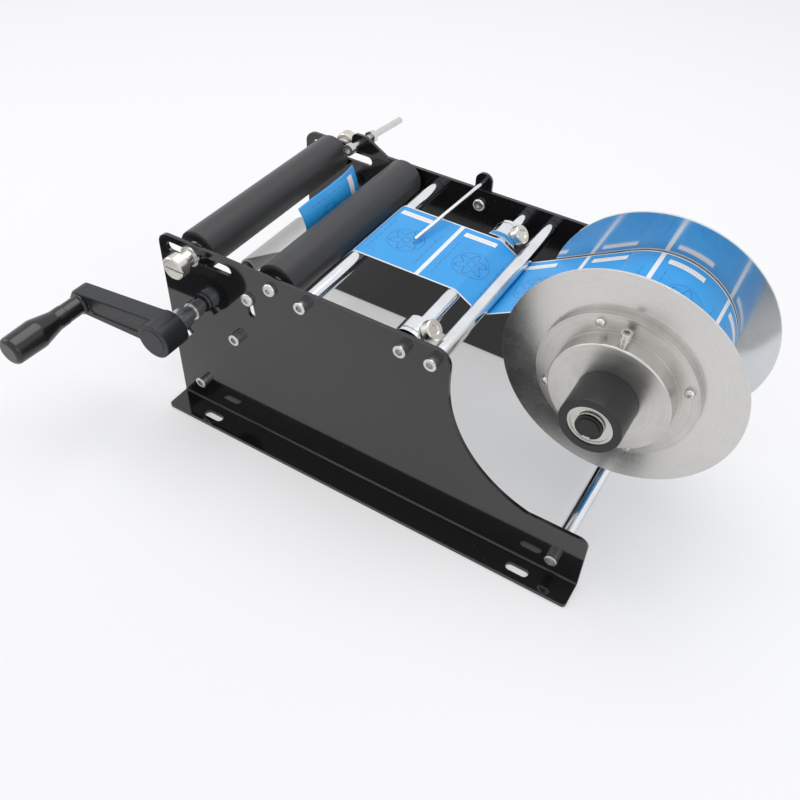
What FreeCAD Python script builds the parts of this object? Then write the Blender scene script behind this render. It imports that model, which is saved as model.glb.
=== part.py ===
import FreeCAD, Part
import math
import os
from types import SimpleNamespace

import Sketcher
from FreeCAD import Placement, Rotation, Vector

# Hand-crank labelling machine for round bottles, in millimetres.
# X runs along the machine from the bottle rollers (-X) to the label reel (+X), Y along every
# roller and rod, Z up. The origin is the centre of the four foot slots, on the bench surface.

SIZES = {
    # side plates, folded from black sheet
    "plate_length": 375,
    "plate_height": 170,
    "plate_thick": 3,
    "plate_gap": 189,
    "front_edge": -187,
    "flange_width": 22,
    "bend_radius": 1.5,
    "front_corner": 10,
    "rear_corner": 12,
    "tail_corner": 8,
    "tail_height": 52.5,
    "reel_cut_radius": 95.5,
    "foot_pitch": 290,
    "foot_spread": 220,
    "foot_slot_length": 18,
    "foot_slot_width": 7,
    # places of the cross axes
    "bed_z": 160,
    "front_roller_x": -155,
    "rear_roller_x": -80.5,
    "front_guide_x": -51,
    "middle_guide_x": 32,
    "rear_guide_x": 56,
    "guide_z": 159,
    "middle_tie_x": -117.5,
    "middle_tie_z": 97,
    "front_tie_x": -162,
    "front_tie_z": 27.5,
    "rear_tie_x": 166,
    "rear_tie_z": 21.5,
    "peel_x": -102.5,
    "peel_z": 141.5,
    "crank_x": -161,
    "crank_z": 105,
    "reel_x": 164,
    "reel_z": 145,
    # rods and their screws
    "rod_width": 12,
    "screw_width": 6,
    "screw_depth": 14,
    "cap_head_width": 10,
    "cap_head_height": 6,
    "cap_socket": 5,
    "button_head_width": 11,
    "button_head_height": 3.5,
    "button_socket": 4,
    "peel_slot_run": 14,
    "peel_slot_lean": 8,
    # bottle rollers
    "roller_length": 180,
    "roller_width": 33,
    "cover_thick": 3,
    "axle_width": 8,
    "axle_screw_width": 5,
    "roller_bearing_outer": 16,
    "roller_bearing_depth": 5,
    "bearing_recess": 1,
    "spacer_width": 11,
    "roller_slot_front": 20,
    "roller_slot_rear": 34,
    "washer_width": 17,
    "washer_thick": 2,
    "knob_width": 19,
    "knob_length": 10,
    "knob_neck_width": 13,
    "knob_neck_length": 9,
    "knob_slot": 1.6,
    # crank and take-up shaft
    "crank_reach": 88,
    "crank_droop": 4.5,
    "bush_flange_width": 15,
    "bush_flange_length": 9,
    "bush_width": 12,
    "crank_collar_width": 18,
    "crank_collar_length": 15,
    "set_screw_width": 5,
    "set_screw_head": 8,
    "set_screw_angle": -52,
    "hub_width": 30,
    "hub_length": 23,
    "arm_offset": 1,
    "arm_thick": 14,
    "arm_end_width": 23,
    "arm_round": 3,
    "cap_width": 22,
    "cap_thick": 2,
    "grip_sleeve_width": 16,
    "grip_sleeve_length": 17,
    "grip_neck_width": 17,
    "grip_width": 25,
    "grip_length": 55,
    "grip_pin_width": 6,
    "take_up_core_width": 12,
    "take_up_width": 15,
    # label web
    "web_near": -29.5,
    "web_width": 75.5,
    "web_thick": 0.3,
    "label_bore": 76,
    "core_wall": 3,
    "label_roll_width": 116,
    "peeled_rise": 19,
    "peeled_curl": 40,
    # reel
    "disc_width": 174,
    "disc_thick": 1.5,
    "disc_play": 1,
    "hub_flange_width": 116,
    "hub_flange_thick": 6,
    "boss_width": 87,
    "boss_length": 14,
    "spigot_length": 8,
    "sleeve_width": 44,
    "sleeve_overhang": 31,
    "sleeve_wall": 8,
    "reel_shaft_width": 15,
    "reel_bearing_outer": 32,
    "reel_bearing_depth": 9,
    "shaft_nose": 3,
    "shaft_shoulder_width": 24,
    "shaft_flange_width": 44,
    "shaft_flange_thick": 5,
    "shaft_stud_width": 12,
    "shaft_nut_height": 10,
    "hub_screw_circle": 103,
    "hub_screw_angle": 22,
    "hub_screw_head": 7,
    # width collars on the middle guide rod
    "collar_width": 25,
    "collar_length": 13,
    "collar_groove": 1.5,
    "collar_rim": 3,
    "near_collar_y": -93,
    "far_collar_y": 47.5,
    "thumb_width": 15,
    "thumb_height": 7,
    "thumb_reach": 20,
    "thumb_angle": 39,
    "thumb_stem": 5,
    # bottle stop on the far plate's ear
    "ear_front": -138,
    "ear_bolt_x": -129,
    "ear_rear": -98.5,
    "ear_top": 182,
    "ear_lean": 5.5,
    "ear_round": 5,
    "stop_z": 175,
    "stop_inner": 20,
    "stop_length": 80,
    "stop_nut_gap": 12,
    "stop_nut_width": 10,
    "stop_nut_height": 5,
    # label pointer
    "pointer_x": -9.7,
    "pointer_screw_z": 156.4,
    "pointer_rod_z": 176,
    "pointer_plate_width": 15,
    "pointer_plate_thick": 2.5,
    "pointer_rod_width": 3,
    "pointer_tip_back": 10.5,
    "pointer_tip_drop": 7.5,
    "pointer_tip_y": 5,
    # clearances
    "running_fit": 0.05,
    "soft_gap": 0.3,
}


class Size:
    """A length or angle held both as a number and as the spreadsheet formula that gives it."""

    def __init__(self, value, text):
        self.value = value
        self.text = text

    def __float__(self):
        return float(self.value)

    def __add__(self, other):
        return Size(self.value + float(other), "(%s + %s)" % (self.text, formula(other)))

    def __radd__(self, other):
        return Size(other + self.value, "(%s + %s)" % (other, self.text))

    def __sub__(self, other):
        return Size(self.value - float(other), "(%s - %s)" % (self.text, formula(other)))

    def __rsub__(self, other):
        return Size(other - self.value, "(%s - %s)" % (other, self.text))

    def __mul__(self, other):
        return Size(self.value * float(other), "(%s * %s)" % (self.text, formula(other)))

    __rmul__ = __mul__

    def __truediv__(self, other):
        return Size(self.value / float(other), "(%s / %s)" % (self.text, formula(other)))

    def __neg__(self):
        return Size(-self.value, "(-1 * %s)" % self.text)


def formula(size):
    """The spreadsheet formula of a Size, or a plain number as text."""
    return size.text if isinstance(size, Size) else repr(size)


def is_zero(size):
    """True for the plain number 0, which marks a point on a sketch axis."""
    return not isinstance(size, Size) and size == 0


def bind(thing, path, size):
    """Ties a property to the spreadsheet."""
    thing.setExpression(path, formula(size))


doc = FreeCAD.newDocument("bottle_labelling_machine")
sheet = doc.addObject("Spreadsheet::Sheet", "dim")
for row, (alias, number) in enumerate(SIZES.items(), start=1):
    sheet.set("A%d" % row, alias)
    sheet.set("B%d" % row, str(number))
    sheet.setAlias("B%d" % row, alias)
doc.recompute()
dim = SimpleNamespace(**{alias: Size(number, "dim." + alias) for alias, number in SIZES.items()})

NODES = []

# Faces and axes that many pieces share.
inner_face = dim.plate_gap / 2
outer_face = inner_face + dim.plate_thick
rear_edge = dim.front_edge + dim.plate_length
web_far = dim.web_near + dim.web_width
web_lift = dim.soft_gap + dim.web_thick / 2
screw_hole = dim.screw_width / 2 + dim.running_fit
rod_axes = {
    "front_guide_rod": (dim.front_guide_x, dim.guide_z),
    "middle_guide_rod": (dim.middle_guide_x, dim.guide_z),
    "rear_guide_rod": (dim.rear_guide_x, dim.guide_z),
    "middle_tie_rod": (dim.middle_tie_x, dim.middle_tie_z),
    "front_tie_rod": (dim.front_tie_x, dim.front_tie_z),
    "rear_tie_rod": (dim.rear_tie_x, dim.rear_tie_z),
}


# ---------------------------------------------------------------- sketches and features


def hold_point(sketch, curve, end, x, y):
    """Holds one point of a curve (1 start, 2 end, 3 centre) at x, y from the sketch's origin."""
    for kind, size, axis in (("DistanceX", x, -2), ("DistanceY", y, -1)):
        if is_zero(size):
            sketch.addConstraint(Sketcher.Constraint("PointOnObject", curve, end, axis))
        else:
            number = sketch.addConstraint(Sketcher.Constraint(kind, -1, 1, curve, end, float(size)))
            bind(sketch, "Constraints[%d]" % number, size)


def hold_radius(sketch, curve, radius):
    """Holds the radius of a circle or an arc."""
    number = sketch.addConstraint(Sketcher.Constraint("Radius", curve, float(radius)))
    bind(sketch, "Constraints[%d]" % number, radius)


def draw_outline(sketch, corners):
    """A closed outline of straight lines through (x, y) corners."""
    points = [Vector(float(x), float(y), 0) for x, y in corners]
    lines = []
    for start, end in zip(points, points[1:] + points[:1]):
        lines.append(sketch.addGeometry(Part.LineSegment(start, end)))
    for line, before, (x, y) in zip(lines, lines[-1:] + lines[:-1], corners):
        sketch.addConstraint(Sketcher.Constraint("Coincident", before, 2, line, 1))
        hold_point(sketch, line, 1, x, y)


def draw_circle(sketch, x, y, radius):
    """A circle held at x, y."""
    centre = Vector(float(x), float(y), 0)
    curve = sketch.addGeometry(Part.Circle(centre, Vector(0, 0, 1), float(radius)))
    hold_point(sketch, curve, 3, x, y)
    hold_radius(sketch, curve, radius)


def draw_slot(sketch, start, end, radius):
    """A slot with round ends centred on two points."""
    first = Vector(float(start[0]), float(start[1]), 0)
    last = Vector(float(end[0]), float(end[1]), 0)
    along = (last - first).normalize()
    side = Vector(-along.y, along.x, 0) * float(radius)
    heading = math.atan2(along.y, along.x)
    quarter = math.pi / 2
    circles = [Part.Circle(centre, Vector(0, 0, 1), float(radius)) for centre in (first, last)]
    near = sketch.addGeometry(Part.ArcOfCircle(circles[0], heading + quarter, heading + 3 * quarter))
    far = sketch.addGeometry(Part.ArcOfCircle(circles[1], heading - quarter, heading + quarter))
    lower = sketch.addGeometry(Part.LineSegment(first - side, last - side))
    upper = sketch.addGeometry(Part.LineSegment(last + side, first + side))
    for one, one_end, two, two_end in ((near, 2, lower, 1), (lower, 2, far, 1), (far, 2, upper, 1), (upper, 2, near, 1)):
        sketch.addConstraint(Sketcher.Constraint("Tangent", one, one_end, two, two_end))
    sketch.addConstraint(Sketcher.Constraint("Equal", near, far))
    hold_point(sketch, near, 3, *start)
    hold_point(sketch, far, 3, *end)
    hold_radius(sketch, near, radius)


def draw_hexagon(sketch, across_flats):
    """A hexagon about the sketch's origin, for sockets and nuts."""
    corners = []
    for step in range(6):
        turn = math.radians(60 * step + 30)
        corner = across_flats / math.sqrt(3)
        corners.append((corner * round(math.cos(turn), 9), corner * round(math.sin(turn), 9)))
    draw_outline(sketch, [(0 if abs(float(x)) < 1e-6 else x, y) for x, y in corners])


def new_body(label):
    """An empty body."""
    body = doc.addObject("PartDesign::Body", label)
    body.Label = label
    return body


def new_sketch(body, name, plane="XY_Plane", offset=None):
    """A sketch on one of the body's own origin planes, offset along the plane's normal."""
    sketch = body.newObject("Sketcher::SketchObject", body.Label + "_" + name)
    base = [item for item in body.Origin.OriginFeatures if item.Role == plane][0]
    sketch.AttachmentSupport = [(base, "")]
    sketch.MapMode = "FlatFace"
    if offset is not None:
        bind(sketch, "AttachmentOffset.Base.z", offset)
    return sketch


def add_pad(body, sketch, length, reverse=False, middle=False):
    """A pad of a sketch along its normal, or the other way, or both ways."""
    pad = body.newObject("PartDesign::Pad", sketch.Name + "_pad")
    pad.Profile = sketch
    pad.Reversed = reverse
    if middle:
        pad.SideType = "Symmetric"
    bind(pad, "Length", length)
    sketch.Visibility = False
    body.Tip = pad
    return pad


def add_pocket(body, sketch, depth=None, reverse=False):
    """A pocket of a sketch: to a depth against its normal, or both ways right through."""
    pocket = body.newObject("PartDesign::Pocket", sketch.Name + "_pocket")
    pocket.Profile = sketch
    pocket.Reversed = reverse
    if depth is None:
        pocket.Type = "ThroughAll"
        pocket.SideType = "Symmetric"
    else:
        bind(pocket, "Length", depth)
    body.Tip = pocket
    return pocket


def add_revolve(body, sketch, kind="PartDesign::Revolution"):
    """A full turn of a sketch about its own vertical axis."""
    turn = body.newObject(kind, sketch.Name + "_turn")
    turn.Profile = sketch
    turn.ReferenceAxis = (sketch, ["V_Axis"])
    turn.Angle = 360
    body.Tip = turn
    return turn


def round_edges(body, radius, wanted, kind="PartDesign::Fillet"):
    """Rounds (or bevels) the edges of the body that a test of the edge picks."""
    doc.recompute()
    base = body.Tip
    names = ["Edge%d" % n for n, edge in enumerate(base.Shape.Edges, start=1) if wanted(edge)]
    feature = body.newObject(kind, body.Label + "_edges")
    feature.Base = (base, names)
    bind(feature, "Radius" if kind.endswith("Fillet") else "Size", radius)
    body.Tip = feature
    return feature


def add_polar(body, feature, count):
    """Repeats a feature round the body's Y axis."""
    doc.recompute()
    pattern = body.newObject("PartDesign::PolarPattern", feature.Name + "_ring")
    pattern.Originals = [feature]
    axis = [item for item in body.Origin.OriginFeatures if item.Role == "Y_Axis"][0]
    pattern.Axis = (axis, [""])
    pattern.Angle = 360
    pattern.Occurrences = count
    body.Tip = pattern
    return pattern


def place(piece, x=0, y=0, z=0, rotation=None):
    """Sets a piece's place from the spreadsheet, and its fixed turn."""
    if rotation is not None:
        piece.Placement = Placement(Vector(0, 0, 0), rotation)
    for axis, size in (("x", x), ("y", y), ("z", z)):
        if not is_zero(size):
            bind(piece, "Placement.Base." + axis, size)


def keep(piece):
    """Lists a finished piece as a node of the machine."""
    NODES.append(piece)
    return piece


def turned(label, profile, x=0, z=0, y=0, rotation=None):
    """A piece turned about a Y axis at x, z: profile lists (radius, y) corners in order."""
    body = new_body(label)
    sketch = new_sketch(body, "profile")
    draw_outline(sketch, profile)
    add_revolve(body, sketch)
    place(body, x, y, z, rotation)
    return body


def tube(label, outer, bore, start, end, x=0, z=0):
    """A plain tube or, with bore 0, a rod between two y values; sizes are radii."""
    return turned(label, [(bore, start), (outer, start), (outer, end), (bore, end)], x, z)


def group(label, shapes):
    """One node of separate solids, such as a set of alike fasteners."""
    piece = doc.addObject("Part::Feature", label)
    piece.Label = label
    piece.Shape = Part.makeCompound(shapes)
    return keep(piece)


def moved(shape, x=0, y=0, z=0, rotation=Rotation()):
    """A copy of a shape, turned about the origin and then moved."""
    copy = shape.copy()
    copy.Placement = Placement(Vector(float(x), float(y), float(z)), rotation).multiply(copy.Placement)
    return copy


def both_sides(shape, x, z, y):
    """Two copies of a shape that points to -Y: one at -y, and one turned about Z at +y."""
    half_turn = Rotation(Vector(0, 0, 1), 180)
    return [moved(shape, x, -float(y), z), moved(shape, x, y, z, half_turn)]


def along(direction):
    """The turn that brings a piece's -Y end to a direction."""
    return Rotation(Vector(0, -1, 0), direction)


# ---------------------------------------------------------------- side plates


def flange_corner(body):
    """Rounds the four free corners of the foot flange."""
    edge_y = float(outer_face + dim.flange_width)
    round_edges(
        body,
        dim.plate_thick,
        lambda edge: edge.Length < float(dim.plate_thick) * 1.01
        and abs(abs(edge.CenterOfMass.y) - edge_y) < 0.01
        and abs(edge.Vertexes[0].Z - edge.Vertexes[-1].Z) > 1,
    )


def corner_test(x, z):
    """A test for the short edge across the sheet at x, z."""
    return lambda edge: (
        len(edge.Vertexes) == 2
        and abs(edge.Vertexes[0].Y - edge.Vertexes[1].Y) > float(dim.plate_thick) / 2
        and abs(edge.CenterOfMass.x - float(x)) < 0.01
        and abs(edge.CenterOfMass.z - float(z)) < 0.01
    )


def folded_sheet(label, side):
    """An upright sheet with its foot flange bent outward: side is -1 (crank) or 1 (far)."""
    body = new_body(label)
    section = new_sketch(body, "section", "YZ_Plane", dim.front_edge)
    draw_outline(
        section,
        [
            (side * inner_face, 0),
            (side * (outer_face + dim.flange_width), 0),
            (side * (outer_face + dim.flange_width), dim.plate_thick),
            (side * outer_face, dim.plate_thick),
            (side * outer_face, dim.plate_height),
            (side * inner_face, dim.plate_height),
        ],
    )
    add_pad(body, section, dim.plate_length)
    bend_inside = float(outer_face)
    bend_outside = float(inner_face)

    def on_bend(edge, y, z):
        middle = edge.CenterOfMass
        return edge.Length > 300 and abs(abs(middle.y) - y) < 0.01 and abs(middle.z - z) < 0.01

    thick = float(dim.plate_thick)
    round_edges(body, dim.bend_radius, lambda edge: on_bend(edge, bend_inside, thick))
    round_edges(body, dim.bend_radius + dim.plate_thick, lambda edge: on_bend(edge, bend_outside, 0))
    flange_corner(body)
    feet = new_sketch(body, "foot_slots")
    reach = (dim.foot_slot_length - dim.foot_slot_width) / 2
    for end in (-1, 1):
        middle = end * dim.foot_pitch / 2
        level = side * dim.foot_spread / 2
        draw_slot(feet, (middle - reach, level), (middle + reach, level), dim.foot_slot_width / 2)
    add_pocket(body, feet)
    return body


def cross_holes(body):
    """The holes and slots that both side plates share, cut from one sketch."""
    holes = new_sketch(body, "holes", "XZ_Plane")
    for x, z in rod_axes.values():
        draw_circle(holes, x, z, screw_hole)
    draw_circle(holes, dim.rear_roller_x, dim.bed_z, dim.axle_screw_width / 2 + dim.running_fit)
    draw_circle(holes, dim.crank_x, dim.crank_z, dim.bush_width / 2 + dim.running_fit)
    slot_start = dim.front_roller_x - dim.roller_slot_front
    slot_end = dim.front_roller_x + dim.roller_slot_rear
    draw_slot(holes, (slot_start, dim.bed_z), (slot_end, dim.bed_z), dim.axle_width / 2 + dim.soft_gap)
    lean = math.radians(SIZES["peel_slot_lean"])
    low_x = dim.peel_x + dim.peel_slot_run * round(math.sin(lean), 6)
    low_z = dim.peel_z - dim.peel_slot_run * round(math.cos(lean), 6)
    draw_slot(holes, (dim.peel_x, dim.peel_z), (low_x, low_z), dim.screw_width / 2 + dim.soft_gap)
    return holes


def crank_side_plate():
    """The plate beside the crank, cut away behind in an arc about the reel."""
    body = folded_sheet("crank_side_plate", -1)
    add_pocket(body, cross_holes(body))
    waste = new_sketch(body, "reel_cut", "XZ_Plane")
    cut = float(dim.reel_cut_radius)
    centre = Vector(float(dim.reel_x), float(dim.reel_z), 0)
    step_x = float(dim.reel_x - dim.reel_cut_radius)
    drop = float(dim.reel_z - dim.tail_height)
    low = math.pi + math.asin(drop / cut)
    low_point = centre + Vector(cut * math.cos(low), cut * math.sin(low), 0)
    beyond_x = float(rear_edge) + cut
    beyond_z = float(dim.plate_height) + cut
    arc = waste.addGeometry(Part.ArcOfCircle(Part.Circle(centre, Vector(0, 0, 1), cut), math.pi, low))
    path = [low_point, Vector(beyond_x, low_point.y, 0), Vector(beyond_x, beyond_z, 0)]
    path += [Vector(step_x, beyond_z, 0), Vector(step_x, centre.y, 0)]
    lines = [waste.addGeometry(Part.LineSegment(a, b)) for a, b in zip(path, path[1:])]
    hold_point(waste, arc, 3, dim.reel_x, dim.reel_z)
    hold_radius(waste, arc, dim.reel_cut_radius)
    waste.addConstraint(Sketcher.Constraint("Coincident", arc, 2, lines[0], 1))
    waste.addConstraint(Sketcher.Constraint("Coincident", lines[3], 2, arc, 1))
    for before, after in zip(lines, lines[1:]):
        waste.addConstraint(Sketcher.Constraint("Coincident", before, 2, after, 1))
    hold_point(waste, lines[1], 1, rear_edge + dim.reel_cut_radius, dim.tail_height)
    hold_point(waste, lines[2], 1, rear_edge + dim.reel_cut_radius, dim.plate_height + dim.reel_cut_radius)
    waste.addConstraint(Sketcher.Constraint("Horizontal", lines[0]))
    waste.addConstraint(Sketcher.Constraint("Horizontal", lines[2]))
    waste.addConstraint(Sketcher.Constraint("Vertical", lines[3]))
    waste.addConstraint(Sketcher.Constraint("Horizontal", arc, 1, arc, 3))
    add_pocket(body, waste)
    step = dim.reel_x - dim.reel_cut_radius
    round_edges(body, dim.front_corner, corner_test(dim.front_edge, dim.plate_height))
    round_edges(body, dim.rear_corner, corner_test(step, dim.plate_height))
    round_edges(body, dim.tail_corner, corner_test(rear_edge, dim.tail_height))
    return keep(body)


def far_side_plate():
    """The full-height plate that carries the reel, with the leaning ear of the bottle stop."""
    body = folded_sheet("far_side_plate", 1)
    holes = cross_holes(body)
    draw_circle(holes, dim.reel_x, dim.reel_z, dim.shaft_stud_width / 2 + dim.running_fit)
    draw_circle(holes, dim.pointer_x, dim.pointer_screw_z, screw_hole)
    add_pocket(body, holes)
    round_edges(body, dim.front_corner, corner_test(dim.front_edge, dim.plate_height))
    round_edges(body, dim.rear_corner, corner_test(rear_edge, dim.plate_height))
    ear = new_sketch(body, "ear", "XZ_Plane")
    ear.AttachmentOffset = Placement(Vector(0, 0, 0), Rotation(Vector(-1, 0, 0), SIZES["ear_lean"]))
    bind(ear, "AttachmentOffset.Base.y", dim.plate_height)
    bind(ear, "AttachmentOffset.Base.z", -inner_face)
    bind(ear, "AttachmentOffset.Rotation.Angle", dim.ear_lean)
    rise = dim.ear_top - dim.plate_height
    root = -dim.plate_thick
    draw_outline(
        ear,
        [
            (dim.ear_front, root),
            (dim.ear_rear, root),
            (dim.ear_rear, root / 2),
            (dim.ear_bolt_x + dim.ear_round, rise),
            (dim.ear_front, rise),
        ],
    )
    add_pad(body, ear, dim.plate_thick, reverse=True)
    top = float(dim.ear_top) - 1
    round_edges(body, dim.ear_round, lambda edge: edge.CenterOfMass.z > top and edge.Length < float(dim.plate_thick) * 1.05)
    bore = new_sketch(body, "ear_bore", "XZ_Plane")
    bore.AttachmentOffset = Placement(Vector(0, 0, 0), Rotation(Vector(-1, 0, 0), SIZES["ear_lean"]))
    bind(bore, "AttachmentOffset.Base.y", dim.plate_height)
    bind(bore, "AttachmentOffset.Base.z", -inner_face)
    bind(bore, "AttachmentOffset.Rotation.Angle", dim.ear_lean)
    draw_circle(bore, dim.ear_bolt_x, dim.stop_z - dim.plate_height, screw_hole)
    add_pocket(body, bore)
    return keep(body)


# ---------------------------------------------------------------- fasteners


def socket_screw(label, head_width, head_height, socket, shank_width, shank_length, domed=False):
    """A screw with a hexagon socket, its head resting at y = 0 and reaching to -Y."""
    head = head_width / 2
    shank = shank_width / 2
    corners = [(0, shank_length), (shank, shank_length), (shank, 0), (head, 0), (head, -head_height), (0, -head_height)]
    body = turned(label, corners)
    rim = float(head_height)
    bevel = head_height * (0.6 if domed else 0.1)
    kind = "PartDesign::Fillet"
    round_edges(body, bevel, lambda edge: abs(edge.CenterOfMass.y + rim) < 0.01 and edge.Closed, kind)
    well = new_sketch(body, "socket", "XZ_Plane", head_height)
    draw_hexagon(well, socket)
    add_pocket(body, well, head_height * 0.55)
    doc.recompute()
    return body.Shape


def hex_nut(label, across_flats, height, bore):
    """A hexagon nut between y = 0 and +height, with a running bore."""
    body = new_body(label)
    blank = new_sketch(body, "blank", "XZ_Plane")
    draw_hexagon(blank, across_flats)
    add_pad(body, blank, height, reverse=True)
    hole = new_sketch(body, "bore", "XZ_Plane")
    draw_circle(hole, 0, 0, bore)
    add_pocket(body, hole)
    return body


def rods():
    """Six steel rods between the plates: three that guide the web and three that tie the frame."""
    for label, (x, z) in rod_axes.items():
        body = tube(label, dim.rod_width / 2, 0, -inner_face, inner_face, x, z)
        for side in (-1, 1):
            ends = new_sketch(body, "tapping_%d" % (side + 1), "XZ_Plane", side * inner_face)
            draw_circle(ends, 0, 0, screw_hole)
            depth = dim.screw_depth - dim.plate_thick + 2 * dim.running_fit
            add_pocket(body, ends, depth, reverse=side < 0)
        rim = float(dim.rod_width) * math.pi * 0.99
        round_edges(body, dim.rod_width / 24, lambda edge: edge.Length > rim and edge.Closed, "PartDesign::Chamfer")
        keep(body)


def rod_screws():
    """A cap screw at both ends of each rod."""
    screw = socket_screw(
        "cap_screw",
        dim.cap_head_width,
        dim.cap_head_height,
        dim.cap_socket,
        dim.screw_width,
        dim.screw_depth,
    )
    copies = []
    for x, z in rod_axes.values():
        copies += both_sides(screw, x, z, outer_face)
    group("rod_screws", copies)


# ---------------------------------------------------------------- bottle rollers


def roller(name, x):
    """A rubber-covered roller on two ball bearings."""
    half = dim.roller_length / 2
    core = dim.roller_width / 2 - dim.cover_thick
    seat = half - dim.bearing_recess - dim.roller_bearing_depth
    ring = dim.roller_bearing_outer / 2
    bore = dim.axle_width / 2 + 2
    profile = [(bore, -seat), (ring, -seat), (ring, -half), (core, -half)]
    profile += [(core, half), (ring, half), (ring, seat), (bore, seat)]
    keep(turned(name + "_core", profile, x, dim.bed_z))
    cover = turned(name + "_cover", [(core, -half), (core + dim.cover_thick, -half), (core + dim.cover_thick, half), (core, half)], x, dim.bed_z)
    outer = float(dim.roller_width) * math.pi * 0.99
    round_edges(cover, dim.cover_thick / 3, lambda edge: edge.Closed and edge.Length > outer)
    keep(cover)
    inner_bore = dim.axle_width / 2 + dim.running_fit
    groove_in = dim.axle_width / 2 + 1
    groove_out = ring - 1
    lip = dim.roller_bearing_depth / 10
    bearing = turned(
        name + "_bearing_pattern",
        [
            (inner_bore, 0),
            (groove_in, 0),
            (groove_in, lip),
            (groove_out, lip),
            (groove_out, 0),
            (ring, 0),
            (ring, dim.roller_bearing_depth),
            (inner_bore, dim.roller_bearing_depth),
        ],
    )
    doc.recompute()
    group(name + "_bearings", both_sides(bearing.Shape, x, dim.bed_z, half - dim.bearing_recess))


def spacers(name, x):
    """Spacer sleeves between the roller's bearings and the plates."""
    start = dim.roller_length / 2 - dim.bearing_recess + dim.soft_gap
    length = inner_face - dim.soft_gap - start
    bore = dim.axle_width / 2 + dim.running_fit
    sleeve = tube(name + "_pattern", dim.spacer_width / 2, bore, 0, length)
    doc.recompute()
    group(name, both_sides(sleeve.Shape, x, dim.bed_z, start + length))


def knurl(body, start, length, radius, count, depth):
    """Cuts a ring of straight grooves into a turned head."""
    groove = new_sketch(body, "knurl", "XZ_Plane", -start)
    draw_outline(groove, [(-depth, radius + depth), (depth, radius + depth), (0, radius - depth)])
    cut = add_pocket(body, groove, length)
    return add_polar(body, cut, count)


def axle_knob(name, side):
    """A knurled, slotted knob screwed on one end of the front axle."""
    neck_end = dim.knob_neck_length
    face = neck_end + dim.knob_length
    bore = dim.axle_width / 2 + dim.running_fit
    blind = face - 3
    neck = dim.knob_neck_width / 2
    head = dim.knob_width / 2
    bevel = dim.knob_length / 10
    body = turned(
        name,
        [
            (bore, 0),
            (neck, 0),
            (neck, -neck_end),
            (head - bevel, -neck_end),
            (head, -neck_end - bevel),
            (head, -face + bevel),
            (head - bevel, -face),
            (0, -face),
            (0, -blind),
            (bore, -blind),
        ],
    )
    knurl(body, -neck_end, dim.knob_length, head, 30, dim.knob_length / 20)
    slot = new_sketch(body, "screwdriver_slot", "XZ_Plane", face)
    draw_outline(
        slot,
        [
            (-head, -dim.knob_slot / 2),
            (head, -dim.knob_slot / 2),
            (head, dim.knob_slot / 2),
            (-head, dim.knob_slot / 2),
        ],
    )
    add_pocket(body, slot, dim.knob_slot)
    turn = Rotation(Vector(0, 0, 1), 90 + side * 90)
    place(body, dim.front_roller_x, side * (outer_face + dim.washer_thick), dim.bed_z, turn)
    return keep(body)


def rollers():
    """The two bottle rollers: the front one on a sliding axle, the rear one on a fixed axle."""
    roller("front_roller", dim.front_roller_x)
    roller("rear_roller", dim.rear_roller_x)
    spacers("front_roller_spacers", dim.front_roller_x)
    spacers("rear_roller_spacers", dim.rear_roller_x)
    tip = outer_face + dim.washer_thick + dim.knob_neck_length + dim.knob_length - 4
    axle = tube("front_roller_axle", dim.axle_width / 2, 0, -tip, tip, dim.front_roller_x, dim.bed_z)
    keep(axle)
    bore = dim.axle_width / 2 + dim.running_fit
    washer = tube("washer_pattern", dim.washer_width / 2, bore, -dim.washer_thick, 0)
    doc.recompute()
    group("front_axle_washers", both_sides(washer.Shape, dim.front_roller_x, dim.bed_z, outer_face))
    axle_knob("crank_side_knob", -1)
    axle_knob("far_side_knob", 1)
    drill = dim.axle_screw_width / 2 + dim.running_fit
    depth = dim.screw_depth
    wall = dim.axle_width / 2
    profile = [(drill, -inner_face), (wall, -inner_face), (wall, inner_face), (drill, inner_face)]
    profile += [(drill, inner_face - depth), (0, inner_face - depth), (0, depth - inner_face), (drill, depth - inner_face)]
    keep(turned("rear_roller_axle", profile, dim.rear_roller_x, dim.bed_z))
    button = socket_screw(
        "axle_button",
        dim.button_head_width,
        dim.button_head_height,
        dim.button_socket,
        dim.axle_screw_width,
        dim.screw_depth,
        True,
    )
    group("rear_axle_screws", both_sides(button, dim.rear_roller_x, dim.bed_z, outer_face))


def peel_bar():
    """The adjustable bar that turns the liner back sharply so that the label lifts off."""
    drill = screw_hole
    depth = dim.screw_depth
    wall = dim.rod_width / 2
    end = inner_face - dim.soft_gap
    profile = [(drill, -end), (wall, -end), (wall, end), (drill, end)]
    profile += [(drill, end - depth), (0, end - depth), (0, depth - end), (drill, depth - end)]
    keep(turned("peel_rod", profile, dim.peel_x, dim.peel_z))
    button = socket_screw(
        "peel_button",
        dim.button_head_width,
        dim.button_head_height,
        dim.button_socket,
        dim.screw_width,
        dim.screw_depth,
        True,
    )
    group("peel_rod_screws", both_sides(button, dim.peel_x, dim.peel_z, outer_face))


# ---------------------------------------------------------------- crank and take-up


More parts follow.
